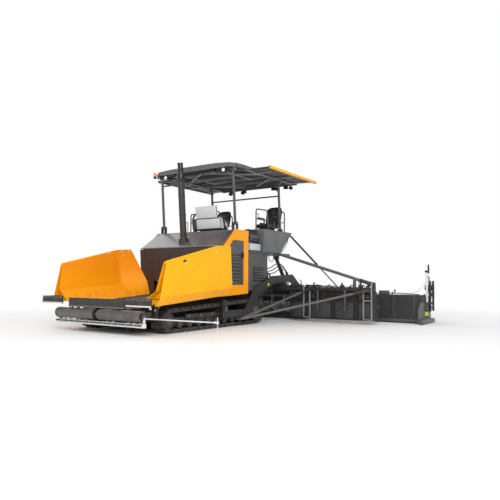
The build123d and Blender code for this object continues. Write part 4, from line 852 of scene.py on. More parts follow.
# %% Shoes of the tracks
shoe = slab(Vector((0.893, -0.072, -0.013)), Vector((1.203, 0.072, 0.0025)))
shoe_bolts = [Vector((x, y, 0.0025)) for x in (0.905, 1.191) for y in (-0.045, 0.045)]
shoe = joined([shoe, bolt_heads(shoe_bolts, (0, 0, 1), 0.007)])
shoes = []
for i in range(SHOE_COUNT):
    y, z, angle = belt_at((i + 0.5) * belt_length / SHOE_COUNT)
    shoes.append(copied(shoe, spot(0, y, z), angle - math.pi / 2))
bpy.data.objects.remove(shoe)
fit_pair(shoes, "track_shoes", black_paint)
print("shoes on each track:", len(shoes))

# %% [markdown]
# The wheels of the track carry hub caps. The drive wheel at the rear has teeth, and the idler at
# the front a dished disc with a row of holes, which reads as a ring of short bosses.

# %% Wheels of the tracks
WHEEL_FACE = 1.155
ROLLER_RUN = (1.065, 3.43)
ROLLER_GAPS = 8
TOOTH_COUNT = 17


def hub(y, z, radius, bolts=6):
    """A cap with a ring of bolts on a wheel's outer face."""
    rim = WHEEL_FACE + 0.012
    parts = [rod("x", (WHEEL_FACE, y, z), rim, radius, 28, 0.003),
             rod("x", (rim, y, z), rim + 0.01, radius * 0.55, 24, 0.003)]
    angles = [2 * math.pi * i / bolts for i in range(bolts)]
    ring = [(rim, y + 0.78 * radius * math.cos(a), z + 0.78 * radius * math.sin(a)) for a in angles]
    return joined([*parts, bolt_heads(ring, (1, 0, 0), radius * 0.11)])


pitch = (ROLLER_RUN[1] - ROLLER_RUN[0]) / ROLLER_GAPS
rollers = [hub(ROLLER_RUN[0] + pitch * i, 0.1545, 0.048) for i in range(ROLLER_GAPS + 1)]
fit_pair([*rollers, hub(*IDLER[:2], 0.085, 8)], "roller_hubs", dark_paint)

drive = [hub(*SPROCKET[:2], 0.12, 10)]
TOOTH_LINE = ((-0.022, 0.16), (0.022, 0.16), (0.011, 0.212), (-0.011, 0.212))
tooth = sheet_cut([Vector((WHEEL_FACE, y, z)) for y, z in TOOTH_LINE], (0.014, 0, 0), 0.002)
drive += [copied(tooth, spot(0, *SPROCKET[:2]), 2 * math.pi * i / TOOTH_COUNT) for i in range(TOOTH_COUNT)]
bpy.data.objects.remove(tooth)
fit_pair(drive, "drive_wheel_teeth", auger_steel)

guard_bolts = [(1.15, 1.35 + 0.38 * i, z) for i in range(6) for z in (0.285, 0.325)]
guard = slab((1.112, 1.25, 0.262), (1.15, 3.3, 0.345), 0.006)
guard_heads = bolt_heads(guard_bolts, (1, 0, 0), 0.01)
fit_pair(guard, "track_guard", black_paint)
fit_pair(guard_heads, "track_guard_bolts", zinc)
print("wheels dressed")

# %% [markdown]
# The roof is a moulded canopy with two awnings that pull out at its sides. Each awning ends in a
# yellow strip, and flat pale struts brace the canopy from below. Lamps with clear fronts hang under
# both ends, and an orange beacon stands at the front corner.

# %% Roof trim and struts
ROOF_LOW = 3.64
AWNING_END = 1.775
STRUTS = (
    ((0.04, 3.14, 3.65), (1.18, 4.02, 3.648)), ((0.62, 3.12, 3.648), (0.6, 4.42, 3.648)),
    ((1.02, 4.62, 3.652), (0.2, 5.3, 3.656)), ((1.16, 3.3, 3.648), (1.16, 5.5, 3.648)),
)
strip = slab((AWNING_END - 0.004, 3.428, ROOF_LOW + 0.001), (AWNING_END + 0.006, 5.834, ROOF_LOW + 0.07))
fit_pair(strip, "awning_strip", yellow_paint, "roof")
slats = [slab((1.262, 3.62 + 0.21 * i, ROOF_LOW + 0.03), (1.73, 3.635 + 0.21 * i, ROOF_LOW + 0.041), 0.002)
         for i in range(10)]
fit_pair(slats, "awning_slats", rail_paint, "roof")
struts = [drum(*ends, 0.013, 10) for ends in STRUTS]
struts += [drum((1.12, y, 3.632), (1.7, y + 0.1, 3.652), 0.01, 10) for y in (3.75, 4.55, 5.35)]
fit_pair(struts, "roof_struts", pale_paint, "roof")
ROOF_LINE = ((-1.258, 3.722), (-0.69, 3.7855), (0.69, 3.7855), (1.258, 3.722))
seams = [bent_tube([(x, y, z) for x, z in ROOF_LINE], 0.004, 8) for y in (3.3, 4.3)]
fit(seams, "roof_seams", roof_skin, "roof")
print("struts on each side:", len(struts))

# %% [markdown]
# A work lamp is a short round housing with cooling ribs behind a clear front. All of it lies on one
# axis, so a helper makes slices along the way the lamp looks. The front gets a finish of its own,
# because a clear lens over a bright bowl looks pale and faintly lit even by day.

# %% Lamps under the roof
LAMP_HIGH = 3.592


def work_lamp(x, y, way):
    """A round work lamp with cooling ribs, hung from the roof: its shell and its clear front."""
    def slice_of(start, end, radius, sides=20, edge=0.0):
        """A round slice of the lamp, from one distance to another along the way it looks."""
        return drum((x, y + way * start, LAMP_HIGH), (x, y + way * end, LAMP_HIGH), radius, sides, edge)

    body = [slice_of(0, 0.05, 0.05, 24, 0.004), slice_of(-0.03, 0, 0.038, 20, 0.003)]
    body += [slice_of(-0.008 - 0.01 * i, -0.004 - 0.01 * i, 0.046) for i in range(3)]
    body.append(slab((x - 0.01, y - 0.02, 3.635), (x + 0.01, y + 0.02, 3.665), 0.002))
    return body, slice_of(0.05, 0.056, 0.043, 24, 0.002)


def glass_finish(name, texture, settings, scale, out, colours, emission, rough, coat, depth):
    """A bright clear plastic with a fine pattern pressed into it."""
    finish = Finish(name)
    pattern = finish.node(texture, settings, {"Vector": finish.place, "Scale": scale}, out=out)
    finish.set("Base Color", finish.mix(pattern, *colours))
    finish.set("Roughness", rough)
    finish.set("Coat Weight", coat)
    finish.set("Emission Color", emission[:3])
    finish.set("Emission Strength", emission[3])
    finish.bump(pattern, depth)
    return finish.material


shells, glasses = [], []
for x, y, way in ((0.9, 2.84, -1), (0.59, 5.735, 1), (1.03, 5.735, 1)):
    body, glass = work_lamp(x, y, way)
    shells += body
    glasses.append(glass)
fit_pair(shells, "lamp_shells", glossy_black, "roof")
lamp_glass = glass_finish("lamp glass", "ShaderNodeTexChecker", {}, 120.0, "Fac",
                          ((0.8, 0.83, 0.86), (0.93, 0.95, 0.97)), (1.0, 1.0, 1.0, 0.12), 0.08, 0.6, 0.0008)
fit_pair(glasses, "lamp_fronts", lamp_glass, "roof")
for lens in nose_lenses:
    cover(lens, lamp_glass)
print("lamps on each side:", len(glasses))

# %% [markdown]
# The beacon is an orange dome on a black foot. Real ones are ribbed inside, and a band texture gives
# that without any more faces. The dome is a cone with a wide bevel, a quick way to a round top.

# %% Beacon
BEACON = spot(-1.215, 2.735, 3.64)
beacon_glass = glass_finish("orange beacon", "ShaderNodeTexWave", {"bands_direction": "X"}, 40.0, 0,
                            ((0.9, 0.16, 0.01), (1.0, 0.3, 0.03)), (1.0, 0.22, 0.02, 0.35), 0.12, 0.8, 0.001)
base = [drum(BEACON + Vector((0, 0, -0.055)), BEACON, 0.04, 24, 0.004)]
base += [slab(BEACON + Vector((-0.015, y, -0.04)), BEACON + Vector((0.02, 0.13, z)))
         for y, z in ((0.0, -0.028), (0.1, 0.02))]
fit(base, "beacon_base", glossy_black, "roof")
dome = drum(BEACON, BEACON + Vector((0, 0, 0.095)), 0.048, 28, 0.016, taper=0.04)
fit(dome, "beacon_dome", beacon_glass, "roof")
print("lamps and beacon on the roof")

# %% [markdown]
# The roof posts turn on pins at both ends. Each pin shows a round cap with a split pin across it,
# and cables run up the posts in clips.

# %% Caps on the post pins
POST_X = 1.11
POST_FEET = (("front", 2.985), ("rear", 5.035))
FOOT_HIGH = 2.35
POST_RISE = 1.25
HEAD_SHIFT = math.tan(math.radians(4.5)) * POST_RISE


def pin_caps(y, z):
    """Caps at both ends of the left post's pin."""
    parts = []
    for s in (-1, 1):
        x = POST_X + s * 0.062
        parts.append(rod("x", (x, y, z), x + s * 0.01, 0.024, 20, 0.003))
        parts.append(rod("y", (x + s * 0.006, y - 0.03, z), y + 0.03, 0.004, 8))
    return parts


for name, foot in POST_FEET:
    fit_pair(pin_caps(foot, FOOT_HIGH), f"foot_pins_{name}", zinc)
    fit_pair(pin_caps(foot - HEAD_SHIFT, FOOT_HIGH + POST_RISE), f"head_pins_{name}", zinc, "roof")
CLIP_HALF = Vector((0.012, 0.006, 0.012))
for name, foot in POST_FEET:
    line = [spot(POST_X, foot - HEAD_SHIFT * share + 0.037, FOOT_HIGH + POST_RISE * share)
            for share in (0.1, 0.3, 0.5, 0.7, 0.9)]
    clips = [slab(place - CLIP_HALF, place + CLIP_HALF, 0.002) for place in line]
    fit_pair([bent_tube(line, 0.006, 8), *clips], f"post_cable_{name}", hose_rubber, f"roof_posts_{name}")
print("posts dressed")

# %% [markdown]
# The exhaust has a perforated shield on its front half, a rain collar at its top and a bolted
# flange at the hood. A small guard rail hooks over the hood beside it.

# %% Exhaust fittings
LEAN_BACK = math.radians(5)
PIPE_FOOT = spot(0, 2.47, 1.745 + 0.265 * 0.44 / 0.675)
PIPE_WAY = Vector((0, -math.sin(LEAN_BACK), math.cos(LEAN_BACK)))


def up_pipe(start, end, radius, edge=0.0, taper=None):
    """A round piece on the pipe's axis, from one distance above its foot to another."""
    return drum(PIPE_FOOT + PIPE_WAY * start, PIPE_FOOT + PIPE_WAY * end, radius, 32, edge, taper)


rings = [up_pipe(d, d + 0.022, 0.084, 0.003) for d in (0.16, 0.62, 1.08, 1.42)]
fit([*rings, up_pipe(0.072, 0.09, 0.1, 0.004)], "exhaust_bands", glossy_black)
flange = [PIPE_FOOT + PIPE_WAY * 0.072 + Vector((0.1 * math.cos(a), 0.1 * math.sin(a), 0.0))
          for a in [math.pi * (0.25 + 0.5 * i) for i in range(4)]]
fit(bolt_heads(flange, (0, 0, 1)), "exhaust_bolts", zinc)
outlet = [up_pipe(1.42, 1.6, 0.09, 0.004), up_pipe(1.6, 1.64, 0.086, taper=0.068),
          up_pipe(1.63, 1.84, 0.066, 0.003), up_pipe(1.835, 1.85, 0.071, 0.003)]
fit(outlet, "exhaust_collar", glossy_black)
hook = bent_tube([(-0.42, y, z) for y, z in ((2.9, 2.186), (2.9, 2.46), (3.1, 2.46), (3.1, 2.186))], 0.012)
fit(hook, "hood_rail", rail_paint)
vents = [slab((x, 2.96 + 0.07 * i, 2.184), (x + 0.42, 2.985 + 0.07 * i, 2.194), 0.004)
         for x in (-0.98, 0.56) for i in range(5)]
fit(vents, "hood_vents", black_paint)
print("exhaust and hood dressed")

# %% [markdown]
# The grille door has a plain upper part and a raised louvred panel whose top corner is cut, as on
# the real machine. A black paddle latch sits beside it. The frame around the door is painted a
# warmer yellow than the wing, as painted shade of the same yellow paint.

# %% Grille door's raised panel and latch
DOOR_X = 1.213
PANEL = [(DOOR_X, y, z) for y, z in ((2.7, 0.985), (3.08, 0.985), (3.08, 1.64), (2.86, 1.64), (2.7, 1.545))]
LOUVRES = 7
frame_bars = [bent_tube(ends, 0.009, 8) for ends in zip(PANEL, PANEL[1:] + PANEL[:1])]
slats = []
for i in range(LOUVRES):
    z = 1.055 + i * 0.078
    corners = [(DOOR_X + dx, y, z + dz) for dx, y, dz in
               ((-0.012, 2.722, 0.02), (0.014, 2.722, -0.02), (0.014, 3.058, -0.02), (-0.012, 3.058, 0.02))]
    slats.append(sheet_cut(corners, (0.002, 0, 0.005), 0.001))
fit_pair([*frame_bars, *slats], "door_louvres", dark_paint, "door_SIDE")
paddle = slabs(0.006, (DOOR_X, 3.092, 1.545, DOOR_X + 0.02, 3.18, 1.68),
               (DOOR_X + 0.02, 3.102, 1.57, DOOR_X + 0.034, 3.168, 1.655))
fit_pair(paddle, "door_latch", glossy_black, "door_SIDE")
print("louvres on each door:", len(slats))

# %% [markdown]
# The two operators sit on sprung seats that can swing out over the machine's side. A seat is a
# shell, a soft cushion and a soft back. The pads are blown up by a short cloth simulation with
# pressure, which gives the crown and the pulled-in sides that a block never has.

# %% Seat pads
PAD_FRAMES = 20
PAD_VOXEL = 0.011
PAD_CAP = 0.01
PAD_PRESSURE = 4


def pad(low, high, hinge=Vector(), tilt=0.0):
    """A stuffed pad: a rounded block, turned, remeshed, blown up a little and smoothed."""
    piece = slab(low, high, 0.025)
    alone(piece)
    turn = Matrix.Rotation(tilt, 4, "X")
    piece.matrix_world = Matrix.Translation(hinge) @ turn @ Matrix.Translation(-hinge)
    settle()
    piece.data.remesh_voxel_size = PAD_VOXEL
    bpy.ops.object.voxel_remesh()
    start = [v.co.copy() for v in piece.data.vertices]
    cloth = piece.modifiers.new("air", "CLOTH")
    cloth.settings.use_pressure = True
    cloth.settings.uniform_pressure_force = PAD_PRESSURE
    cloth.settings.effector_weights.gravity = 0
    cloth.point_cache.frame_end = PAD_FRAMES
    for step in range(1, PAD_FRAMES + 1):
        bpy.context.scene.frame_set(step)
    alone(piece)
    bpy.ops.object.modifier_apply(modifier=cloth.name)
    bpy.context.scene.frame_set(1)
    for vertex, before in zip(piece.data.vertices, start):
        move = vertex.co - before
        if move.length > PAD_CAP:
            vertex.co = before + move.normalized() * PAD_CAP
    smooth = piece.modifiers.new("smooth", "SUBSURF")
    smooth.levels = 1
    smooth.render_levels = 1
    bpy.ops.object.modifier_apply(modifier=smooth.name)
    return piece


def leather_finish():
    """Black cover with a fine grain, sewn lines across it and a soft shine."""
    finish = Finish("black seat cover grain")
    grain = finish.cells(420)
    sewn = finish.node("ShaderNodeTexWave", {"bands_direction": "X"}, {"Vector": finish.place, "Scale": 2.1})
    worn = finish.noise(6, 4).ramp(0.4, 0.7)
    finish.set("Base Color", finish.mix(worn * 0.5, (0.016, 0.016, 0.018), (0.05, 0.05, 0.053)))
    finish.set("Roughness", 0.34 + 0.18 * worn)
    finish.set("Coat Weight", 0.12)
    finish.bump(grain * 0.4 - (sewn > 0.93) * 0.6, 0.0012)
    return finish.material


seat_cover = leather_finish()
SEAT = 0.84
BACK_TILT = math.radians(13)
seat_pad = pad((SEAT - 0.215, 4.585, 2.415), (SEAT + 0.215, 5.045, 2.492))
back_pad = pad((SEAT - 0.205, 5.015, 2.5), (SEAT + 0.205, 5.088, 2.955), spot(SEAT, 5.06, 2.47), -BACK_TILT)
print("pad faces:", len(seat_pad.data.polygons), len(back_pad.data.polygons))
for piece, name in ((seat_pad, "seat_cushion"), (back_pad, "seat_back")):
    for one in fit_pair(piece, name, seat_cover, nodes=("seats",)):
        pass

# %% [markdown]
# Behind its pads a seat is a moulded shell, two armrests with a small lever each and a rubber bellows
# over its spring. The shell's back follows the tilt of the pad. The bellows is a stack of slabs in
# two sizes, because a fold shows only as a line of shade from here.

# %% Seat shells, arms and springs
ARM_OUT = 0.235
BACK_EDGE = ((0.2, 2.46), (0.238, 2.62), (0.24, 2.86), (0.205, 2.96), (0.12, 2.995))
outline = [(-0.2, 2.46), *BACK_EDGE, *[(-x, z) for x, z in reversed(BACK_EDGE[1:])]]
back_shell = sheet_cut([(SEAT + x, 5.082 + (z - 2.47) * math.tan(BACK_TILT), z) for x, z in outline],
                       (0, 0.026, 0.006), 0.008)
shell = [slab((SEAT - 0.212, 4.6, 2.392), (SEAT + 0.212, 5.05, 2.422), 0.008), back_shell]
for s in (-1, 1):
    side_x = SEAT + s * 0.205
    arm_x = SEAT + s * ARM_OUT
    shell.append(slab((side_x - 0.008, 4.78, 2.4), (side_x + 0.008, 5.09, 2.56), 0.006))
    shell.append(slab((arm_x - 0.022, 4.72, 2.66), (arm_x + 0.022, 5.06, 2.7), 0.012))
    shell.append(slab((arm_x - 0.012, 5.02, 2.5), (arm_x + 0.012, 5.06, 2.665), 0.005))
    shell.append(drum((arm_x, 4.75, 2.7), (arm_x, 4.74, 2.77), 0.007, 10))
    shell.append(drum((arm_x, 4.74, 2.77), (arm_x, 4.737, 2.805), 0.016, 14, 0.005))
bellows = []
for i in range(7):
    inset = 0.006 * (i % 2)
    bellows.append(slab((SEAT - 0.15 + inset, 4.65 + inset, 2.302 + 0.013 * i),
                        (SEAT + 0.15 - inset, 4.97 - inset, 2.315 + 0.013 * i), 0.004))
fit_pair(shell, "seat_shell", glossy_black, nodes=("seats",))
fit_pair(bellows, "seat_bellows", flap_rubber, nodes=("seats",))
print("seats built")

# %% [markdown]
# The consoles are sheet-steel boxes. Their side plates are folded, so each gets a thin rolled edge,
# a door with hinges and rows of screws. Where the real one is lettered, the plate stays bare.

# %% Side consoles
CONSOLE_FACE = 1.238
PLATE_FACE = CONSOLE_FACE + 0.004
CONSOLE_LINE = [(CONSOLE_FACE, y, z)
                for y, z in ((4.012, 1.735), (4.84, 1.735), (5.418, 2.298), (4.012, 2.298))]
DOOR_LINE = ((4.06, 1.78), (4.6, 1.78), (4.6, 2.24), (4.06, 2.24))
REAR_LINE = ((4.64, 1.8), (4.82, 1.8), (5.28, 2.24), (4.64, 2.24))
console_paint = paint("grey console paint", (0.15, 0.155, 0.16), 0.42, dust=0.05)
cover(frame["nodes"]["side_consoles"], console_paint)
plates = [bent_tube([*CONSOLE_LINE, CONSOLE_LINE[0]], 0.006, 8)]
plates += [sheet_cut([(CONSOLE_FACE, y, z) for y, z in line], (0.004, 0, 0), 0.001)
           for line in (DOOR_LINE, REAR_LINE)]
plates += [rod("z", (PLATE_FACE, 4.055, z), z + 0.06, 0.007, 12) for z in (1.85, 2.11)]
fit_pair(plates, "console_plates", console_paint)
screws = [(PLATE_FACE, y, z) for y in (4.1, 4.33, 4.56) for z in (1.81, 2.21)]
screws += [(PLATE_FACE, 4.68 + 0.16 * i, 2.215) for i in range(4)]
fit_pair(bolt_heads(screws, (1, 0, 0), 0.007), "console_screws", zinc)

signal_yellow = paint("signal yellow", (0.9, 0.86, 0.01), 0.25, dust=0.0)
USUAL_SLOT[signal_yellow.name] = "yellow_paint"
UPPER_GRAB = ((1.195, 4.86, 1.757), (1.215, 4.95, 1.73), (1.215, 5.27, 2.04), (1.195, 5.32, 2.203))
LOWER_GRAB = ((1.14, 4.4, 1.692), (1.14, 4.42, 1.52), (1.14, 4.66, 1.5), (1.14, 4.68, 1.692))
bars = [bent_tube(line, 0.011, 12, smooth=True) for line in (UPPER_GRAB, LOWER_GRAB)]
fit_pair(bars, "grab_bars", pale_paint)
alone()
bpy.ops.mesh.primitive_cylinder_add(vertices=28, radius=0.032, depth=0.01, location=spot(1.279, 4.19, 0.93),
                                    rotation=(0, math.pi / 2, 0))
fit_pair(soften(settle(), 0.002), "side_reflector", signal_yellow, "screed")
print("consoles dressed")

# %% [markdown]
# Between the yellow side and the console the machine is open, and its valves, pipes and a pale
# washer tank show there. They are plain tubes with unions, so a few short runs give the look.

# %% Valves, pipes and tank behind the side panel
UNION_PITCH = 0.065
tank = [slab((1.02, 3.5, 1.742), (1.2, 3.96, 1.92), 0.03),
        rod("z", (1.11, 3.6, 1.92), 1.95, 0.035, 24, 0.004)]
fit_pair(tank, "washer_tank", paint("pale blue tank", (0.6, 0.68, 0.76), 0.3, dust=0.0))
valve = [slab((0.98, 3.56, 1.98), (1.16, 3.9, 2.12), 0.006)]
for i in range(5):
    y = 3.6 + UNION_PITCH * i
    valve.append(rod("x", (1.16, y, 2.05), 1.192, 0.017, 6, 0.002))
    valve.append(slab((1.0, y - 0.02, 2.12), (1.1, y + 0.02, 2.165), 0.004))
valve += [slab((1.02, y, 1.735), (1.05, y + 0.03, 1.99)) for y in (3.56, 3.87)]
fit_pair(valve, "valve_block", cast_iron)
lines = []
for i in range(6):
    y = 3.58 + UNION_PITCH * i
    route = [(1.13, y, 2.15), (1.13, y, 2.22), (1.1 - 0.02 * i, y + 0.03, 2.26),
             (0.95, y + 0.04, 2.26 - 0.02 * i), (0.9, y + 0.04, 2.05), (0.9, y + 0.04, 1.74)]
    lines.append(bent_tube(route, 0.01, smooth=True))
for i in range(3):
    z = 1.8 + 0.05 * i
    route = [(1.0, 3.45, z), (1.16, 3.47, z), (1.185, 3.7, z + 0.14),
             (1.16, 3.98, z + 0.1), (1.0, 4.0, z + 0.1)]
    lines.append(bent_tube(route, 0.009, smooth=True))
fit_pair(lines, "valve_pipes", hose_rubber)
print("pipes on each side:", len(lines))

# %% [markdown]
# The driver's console crosses the front of the platform. It has a white hood against the sun, a
# black arch to hold on to, a screen, a steering wheel and two rows of round switches.

# %% Steering console
ARCH = ((-0.52, 3.5, 2.2), (-0.53, 3.42, 2.42), (-0.5, 3.38, 2.62), (-0.36, 3.36, 2.72))
LEFT_ARCH = ((0.46, 3.5, 2.28), (0.47, 3.42, 2.45), (0.44, 3.38, 2.62), (0.32, 3.36, 2.72))
arches = [bent_tube(ARCH, 0.024, 14, smooth=True), bent_tube(LEFT_ARCH, 0.018, 14, smooth=True)]
arches += slabs(0.01, (-0.54, 3.46, 2.19, -0.46, 3.54, 2.3), (0.4, 3.46, 2.29, 0.47, 3.54, 2.36))
fit(arches, "console_arch", glossy_black)


def level_plate(x0, x1, low, high, thick, edge):
    """A plate between two level lines across the machine, each given by its y and z."""
    return sheet_cut([(x0, *low), (x1, *low), (x1, *high), (x0, *high)], thick, edge)


COVER_LINE = ((3.372, 2.3), (3.636, 2.3), (3.6, 2.42), (3.33, 2.555))
hood = [level_plate(-0.31, 0.34, (3.305, 2.565), (3.247, 2.856), (0, -0.012, -0.002), 0.004),
        level_plate(-0.33, 0.41, (3.369, 2.31), (3.326, 2.545), (0, -0.01, -0.002), 0.003),
        level_plate(-0.5, 0.44, (3.328, 2.566), (3.602, 2.428), (0, 0.004, 0.009), 0.003)]
hood += [sheet_cut([(x, y, z) for y, z in COVER_LINE], (thick, 0, 0), 0.004)
         for x, thick in ((0.421, 0.012), (-0.481, -0.012))]
fit(hood, "console_hood", white_plastic)
TOP_UP = Vector((0, 0.45, 0.89))
WHEEL_PLACE = spot(0.26, 3.56, 2.56)
knobs = []
for row in range(2):
    for i in range(9):
        place = spot(-0.42 + 0.09 * i, 3.4 + 0.09 * row, 2.535 - 0.045 * row)
        knobs.append(drum(place, place + TOP_UP * 0.022, 0.016, 14, 0.003))
alone()
bpy.ops.mesh.primitive_torus_add(location=WHEEL_PLACE, rotation=(-math.radians(27), 0, 0), major_radius=0.105,
                                 minor_radius=0.01, major_segments=36, minor_segments=10)
knobs.append(settle())
knobs.append(drum(WHEEL_PLACE - TOP_UP * 0.09, WHEEL_PLACE, 0.018, 16, 0.003))
SPOKE_ANGLES = (0.5, 2.6, 4.7)
for a in SPOKE_ANGLES:
    spoke = Vector((0.1 * math.cos(a), 0.089 * math.sin(a), -0.045 * math.sin(a)))
    knobs.append(drum(WHEEL_PLACE, WHEEL_PLACE + spoke, 0.006, 8))
fit(knobs, "console_controls", glossy_black)
fit(slab((-0.34, 3.6, 2.44), (-0.1, 3.63, 2.6), 0.008), "console_screen", glossy_black)
print("console dressed")

# %% [markdown]
# The guard rails end in round base flanges with a bolt each side, and a lower rail joins the
# front loop's legs. The platform's floor is covered by a ribbed rubber mat.

# %% Rails and mat
rails = []
for x, y in ((1.05, 3.96), (1.05, 4.553), (0.7, 5.38), (1.04, 5.38)):
    rails.append(rod("z", (x, y, 2.3003), 2.308, 0.036, 20, 0.002))
    rails += [rod("z", (x, y + s * 0.026, 2.308), 2.314, 0.006, 6) for s in (-1, 1)]
rails += [rod("y", (1.05, 3.963, 2.55), 4.54, 0.012, 12), rod("x", (0.7, 5.38, 2.59), 1.04, 0.012, 12)]
fit_pair(rails, "rail_fittings", rail_paint)
mat = [slab((-0.6, 3.7, 1.73), (0.6, 5.34, 1.738))]
mat += [slab((-0.58, 3.74 + 0.06 * i, 1.737), (0.58, 3.755 + 0.06 * i, 1.742), 0.001) for i in range(26)]
fit(mat, "platform_mat", flap_rubber)
print("platform done")

# %% [markdown]
# The four hoses behind the tractor hang free between the bulkhead and the auger beam. Each is one
# open curve with a round section, so its real length can be measured and printed.
# Three more loop out behind each tank.

# %% Free hoses and cables
SIDES = (("left", 1), ("right", -1))


def free_cord(name, points, radius, finish, body="root", nodes=()):
    """A hose or cable that hangs free between two pieces of the machine."""
    points = [framed(point) for point in points]
    piece, spline = curve(name, points, radius, 3, 10)
    declare(piece, finish, body, nodes)
    length = spline.calc_length()
    return length


TANK_BACK = 4.2603
BEAM_Y = 5.045
BEAM_TOP = 0.9003
HOSE_ENDS = [(0.56 + 0.09 * i, 1.5 - 0.06 * i) for i in range(4)]
lengths = []
for i, (x, top) in enumerate(HOSE_ENDS):
    route = [(x, TANK_BACK, top), (x, 4.5, top), (x, 4.86 - 0.04 * i, top - 0.09 + 0.015 * i),
             (x, BEAM_Y, 1.18 - 0.01 * i), (x, BEAM_Y, BEAM_TOP)]
    name = f"rear_hose_{i + 1}"
    lengths.append(free_cord(name, route, 0.024, hose_rubber, nodes=("rear_hoses",)))
for side, s in SIDES:
    for i in range(3):
        high = 1.31 - 0.06 * i
        line = ((TANK_BACK, high), (4.6, high), (4.98 - 0.03 * i, 1.49 - 0.08 * i),
                (5.35 - 0.05 * i, 1.43 - 0.06 * i), (5.52 - 0.05 * i, 1.17), (5.47 - 0.02 * i, 0.87),
                (5.1003, 0.84))
        route = [(s * (1.035 + 0.06 * i), y, z) for y, z in line]
        lengths.append(free_cord(f"tank_hose_{i + 1}_{side}", route, 0.0125, hose_rubber))
print("hose lengths:", [round(v, 3) for v in lengths])

ferrules = [rod("y", (x, TANK_BACK, top), 4.3, 0.03, 6, 0.002) for x, top in HOSE_ENDS]
ferrules += [rod("z", (x, BEAM_Y, BEAM_TOP), 0.945, 0.03, 6, 0.002) for x, top in HOSE_ENDS]
fit(ferrules, "hose_ferrules", zinc)

# %% [markdown]
# The auger plates carry a crowd of small things in front: bolted ribs, pipes in clamps, a small
# cylinder that folds the end plate, and posts for the sensors. Each is a block or a tube of its
# own, because a texture would stay flat where the light comes in from the side.

# %% Auger plates
TUNNEL_FACE = 5.085
PANEL_FACE = TUNNEL_FACE - 0.007
FRAME_FACE = 4.985
bolts = [(1.5 + 0.24 * i, PANEL_FACE, z) for i in range(9) for z in (0.145, 0.465)]
fit_pair(bolt_heads(bolts, (0, -1, 0), 0.011), "tunnel_bolts", dark_paint)
pipes = []
for i in range(3):
    y = 5.02 + 0.03 * i
    end_x = 3.46 - 0.12 * i
    pipes.append(bent_tube([(0.2, y, 0.905), (1.46, y, 0.905), (1.52, y, 0.882), (end_x - 0.06, y, 0.882),
                            (end_x, 4.995, 0.82), (end_x, 4.995, 0.45)], 0.009))
pipes += [slab((x, 5.008, 0.87), (x + 0.04, 5.092, 0.896), 0.004) for x in (1.62, 2.05, 2.55, 3.05)]
fit_pair(pipes, "auger_pipes", black_paint)
posts = [bent_tube([(x, 5.02, 0.86), (x, 5.02, 1.02), (x - 0.05, 5.0, 1.05)], 0.012) for x in (1.75, 3.3)]
posts += [slab((x - 0.025, FRAME_FACE, 0.3), (x + 0.025, 5.03, 0.8), 0.004) for x in (2.22, 2.95)]
fit_pair(posts, "tunnel_posts", dark_paint)
fold = [rod("x", (1.98, FRAME_FACE, 0.9), 2.34, 0.026, 24, 0.004),
        rod("x", (1.9, FRAME_FACE, 0.9), 1.98, 0.034, 24, 0.004)]
fit_pair(fold, "fold_cylinder", black_paint)
fit_pair(rod("x", (2.34, FRAME_FACE, 0.9), 2.72, 0.014), "fold_rod", chrome)
lever_paint = paint("brown lever paint", (0.1, 0.065, 0.045), 0.45)
fit_pair(slab((3.16, 4.99, 0.862), (3.23, 5.04, 1.05), 0.008), "lever_post", lever_paint)

panels = [slab((x0, PANEL_FACE, 0.115), (x1, TUNNEL_FACE, 0.495), 0.002)
          for x0, x1 in ((1.44, 1.785), (1.895, 2.545), (2.655, 3.145), (3.255, 3.62))]
panels.append(slab((1.42, 5.045, 0.5), (3.62, TUNNEL_FACE, 0.52)))
fit_pair(panels, "tunnel_panels", console_plastic)
frames = [slab((x - 0.013, FRAME_FACE, 0.1), (x + 0.013, 5.028, top))
          for x, top in ((1.83, 0.93), (2.0, 0.76), (3.42, 0.76), (3.62, 0.98))]
frames += [slab((x0, FRAME_FACE, z), (x1, 5.028, z + 0.022))
           for x0, x1, z in ((1.83, 2.0, 0.1), (3.42, 3.62, 0.1), (3.42, 3.62, 0.55))]
fit_pair(frames, "end_frames", edge_paint)
print("panels on each plate:", len(panels))

# %% [markdown]
# Hoses run along the plates in loose bundles, and short loops rise over the beam. Real hoses never
# run straight, so small fixed steps sideways and up take the place of chance, and a smooth curve
# runs through them. Fixed steps give the same hoses in every run.

# %% Hoses and gear in front of the auger plates
runs = []
for i in range(5):
    way = []
    for j in range(10):
        sway = 0.016 * ((i + j) % 3 - 1)
        rise = 0.025 * ((i * 2 + j * j) % 3 - 1)
        way.append((1.47 + 0.24 * j, 5.035 + sway, 0.56 + 0.055 * i + rise))
    runs.append(bent_tube(way, 0.012 + 0.002 * (i % 2), smooth=True))
LOOP = ((0, 5.01, 0.56), (0.02, 4.98, 0.7), (0.06, 4.975, 0.9), (0.12, 5.02, 0.945), (0.15, 5.04, 0.875))
runs += [bent_tube([(x + dx, y, z) for dx, y, z in LOOP], 0.012, smooth=True)
         for x in (1.55, 2.12, 2.42, 2.78, 3.02, 3.3)]
fit_pair(runs, "tunnel_hoses", hose_rubber)
GEAR = ((1.48, 0.05), (1.6, 0.06), (1.73, 0.04), (2.1, 0.045), (2.86, 0.045), (3.34, 0.05), (3.52, 0.04))
gear = []
for x, size in GEAR:
    gear.append(slab((x - size, 5.005, 0.87), (x + size, 5.075, 0.87 + 1.3 * size), 0.005))
    gear.append(rod("z", (x, 5.04, 0.86), 0.9 + 1.9 * size, size * 0.45, 16, 0.004))
    gear.append(slab((x - size, 4.995, 0.6), (x + size, 5.05, 0.6 + 2.2 * size), 0.006))
fit_pair(gear, "tunnel_gear", black_paint)
print("hoses in front of each plate:", len(runs))

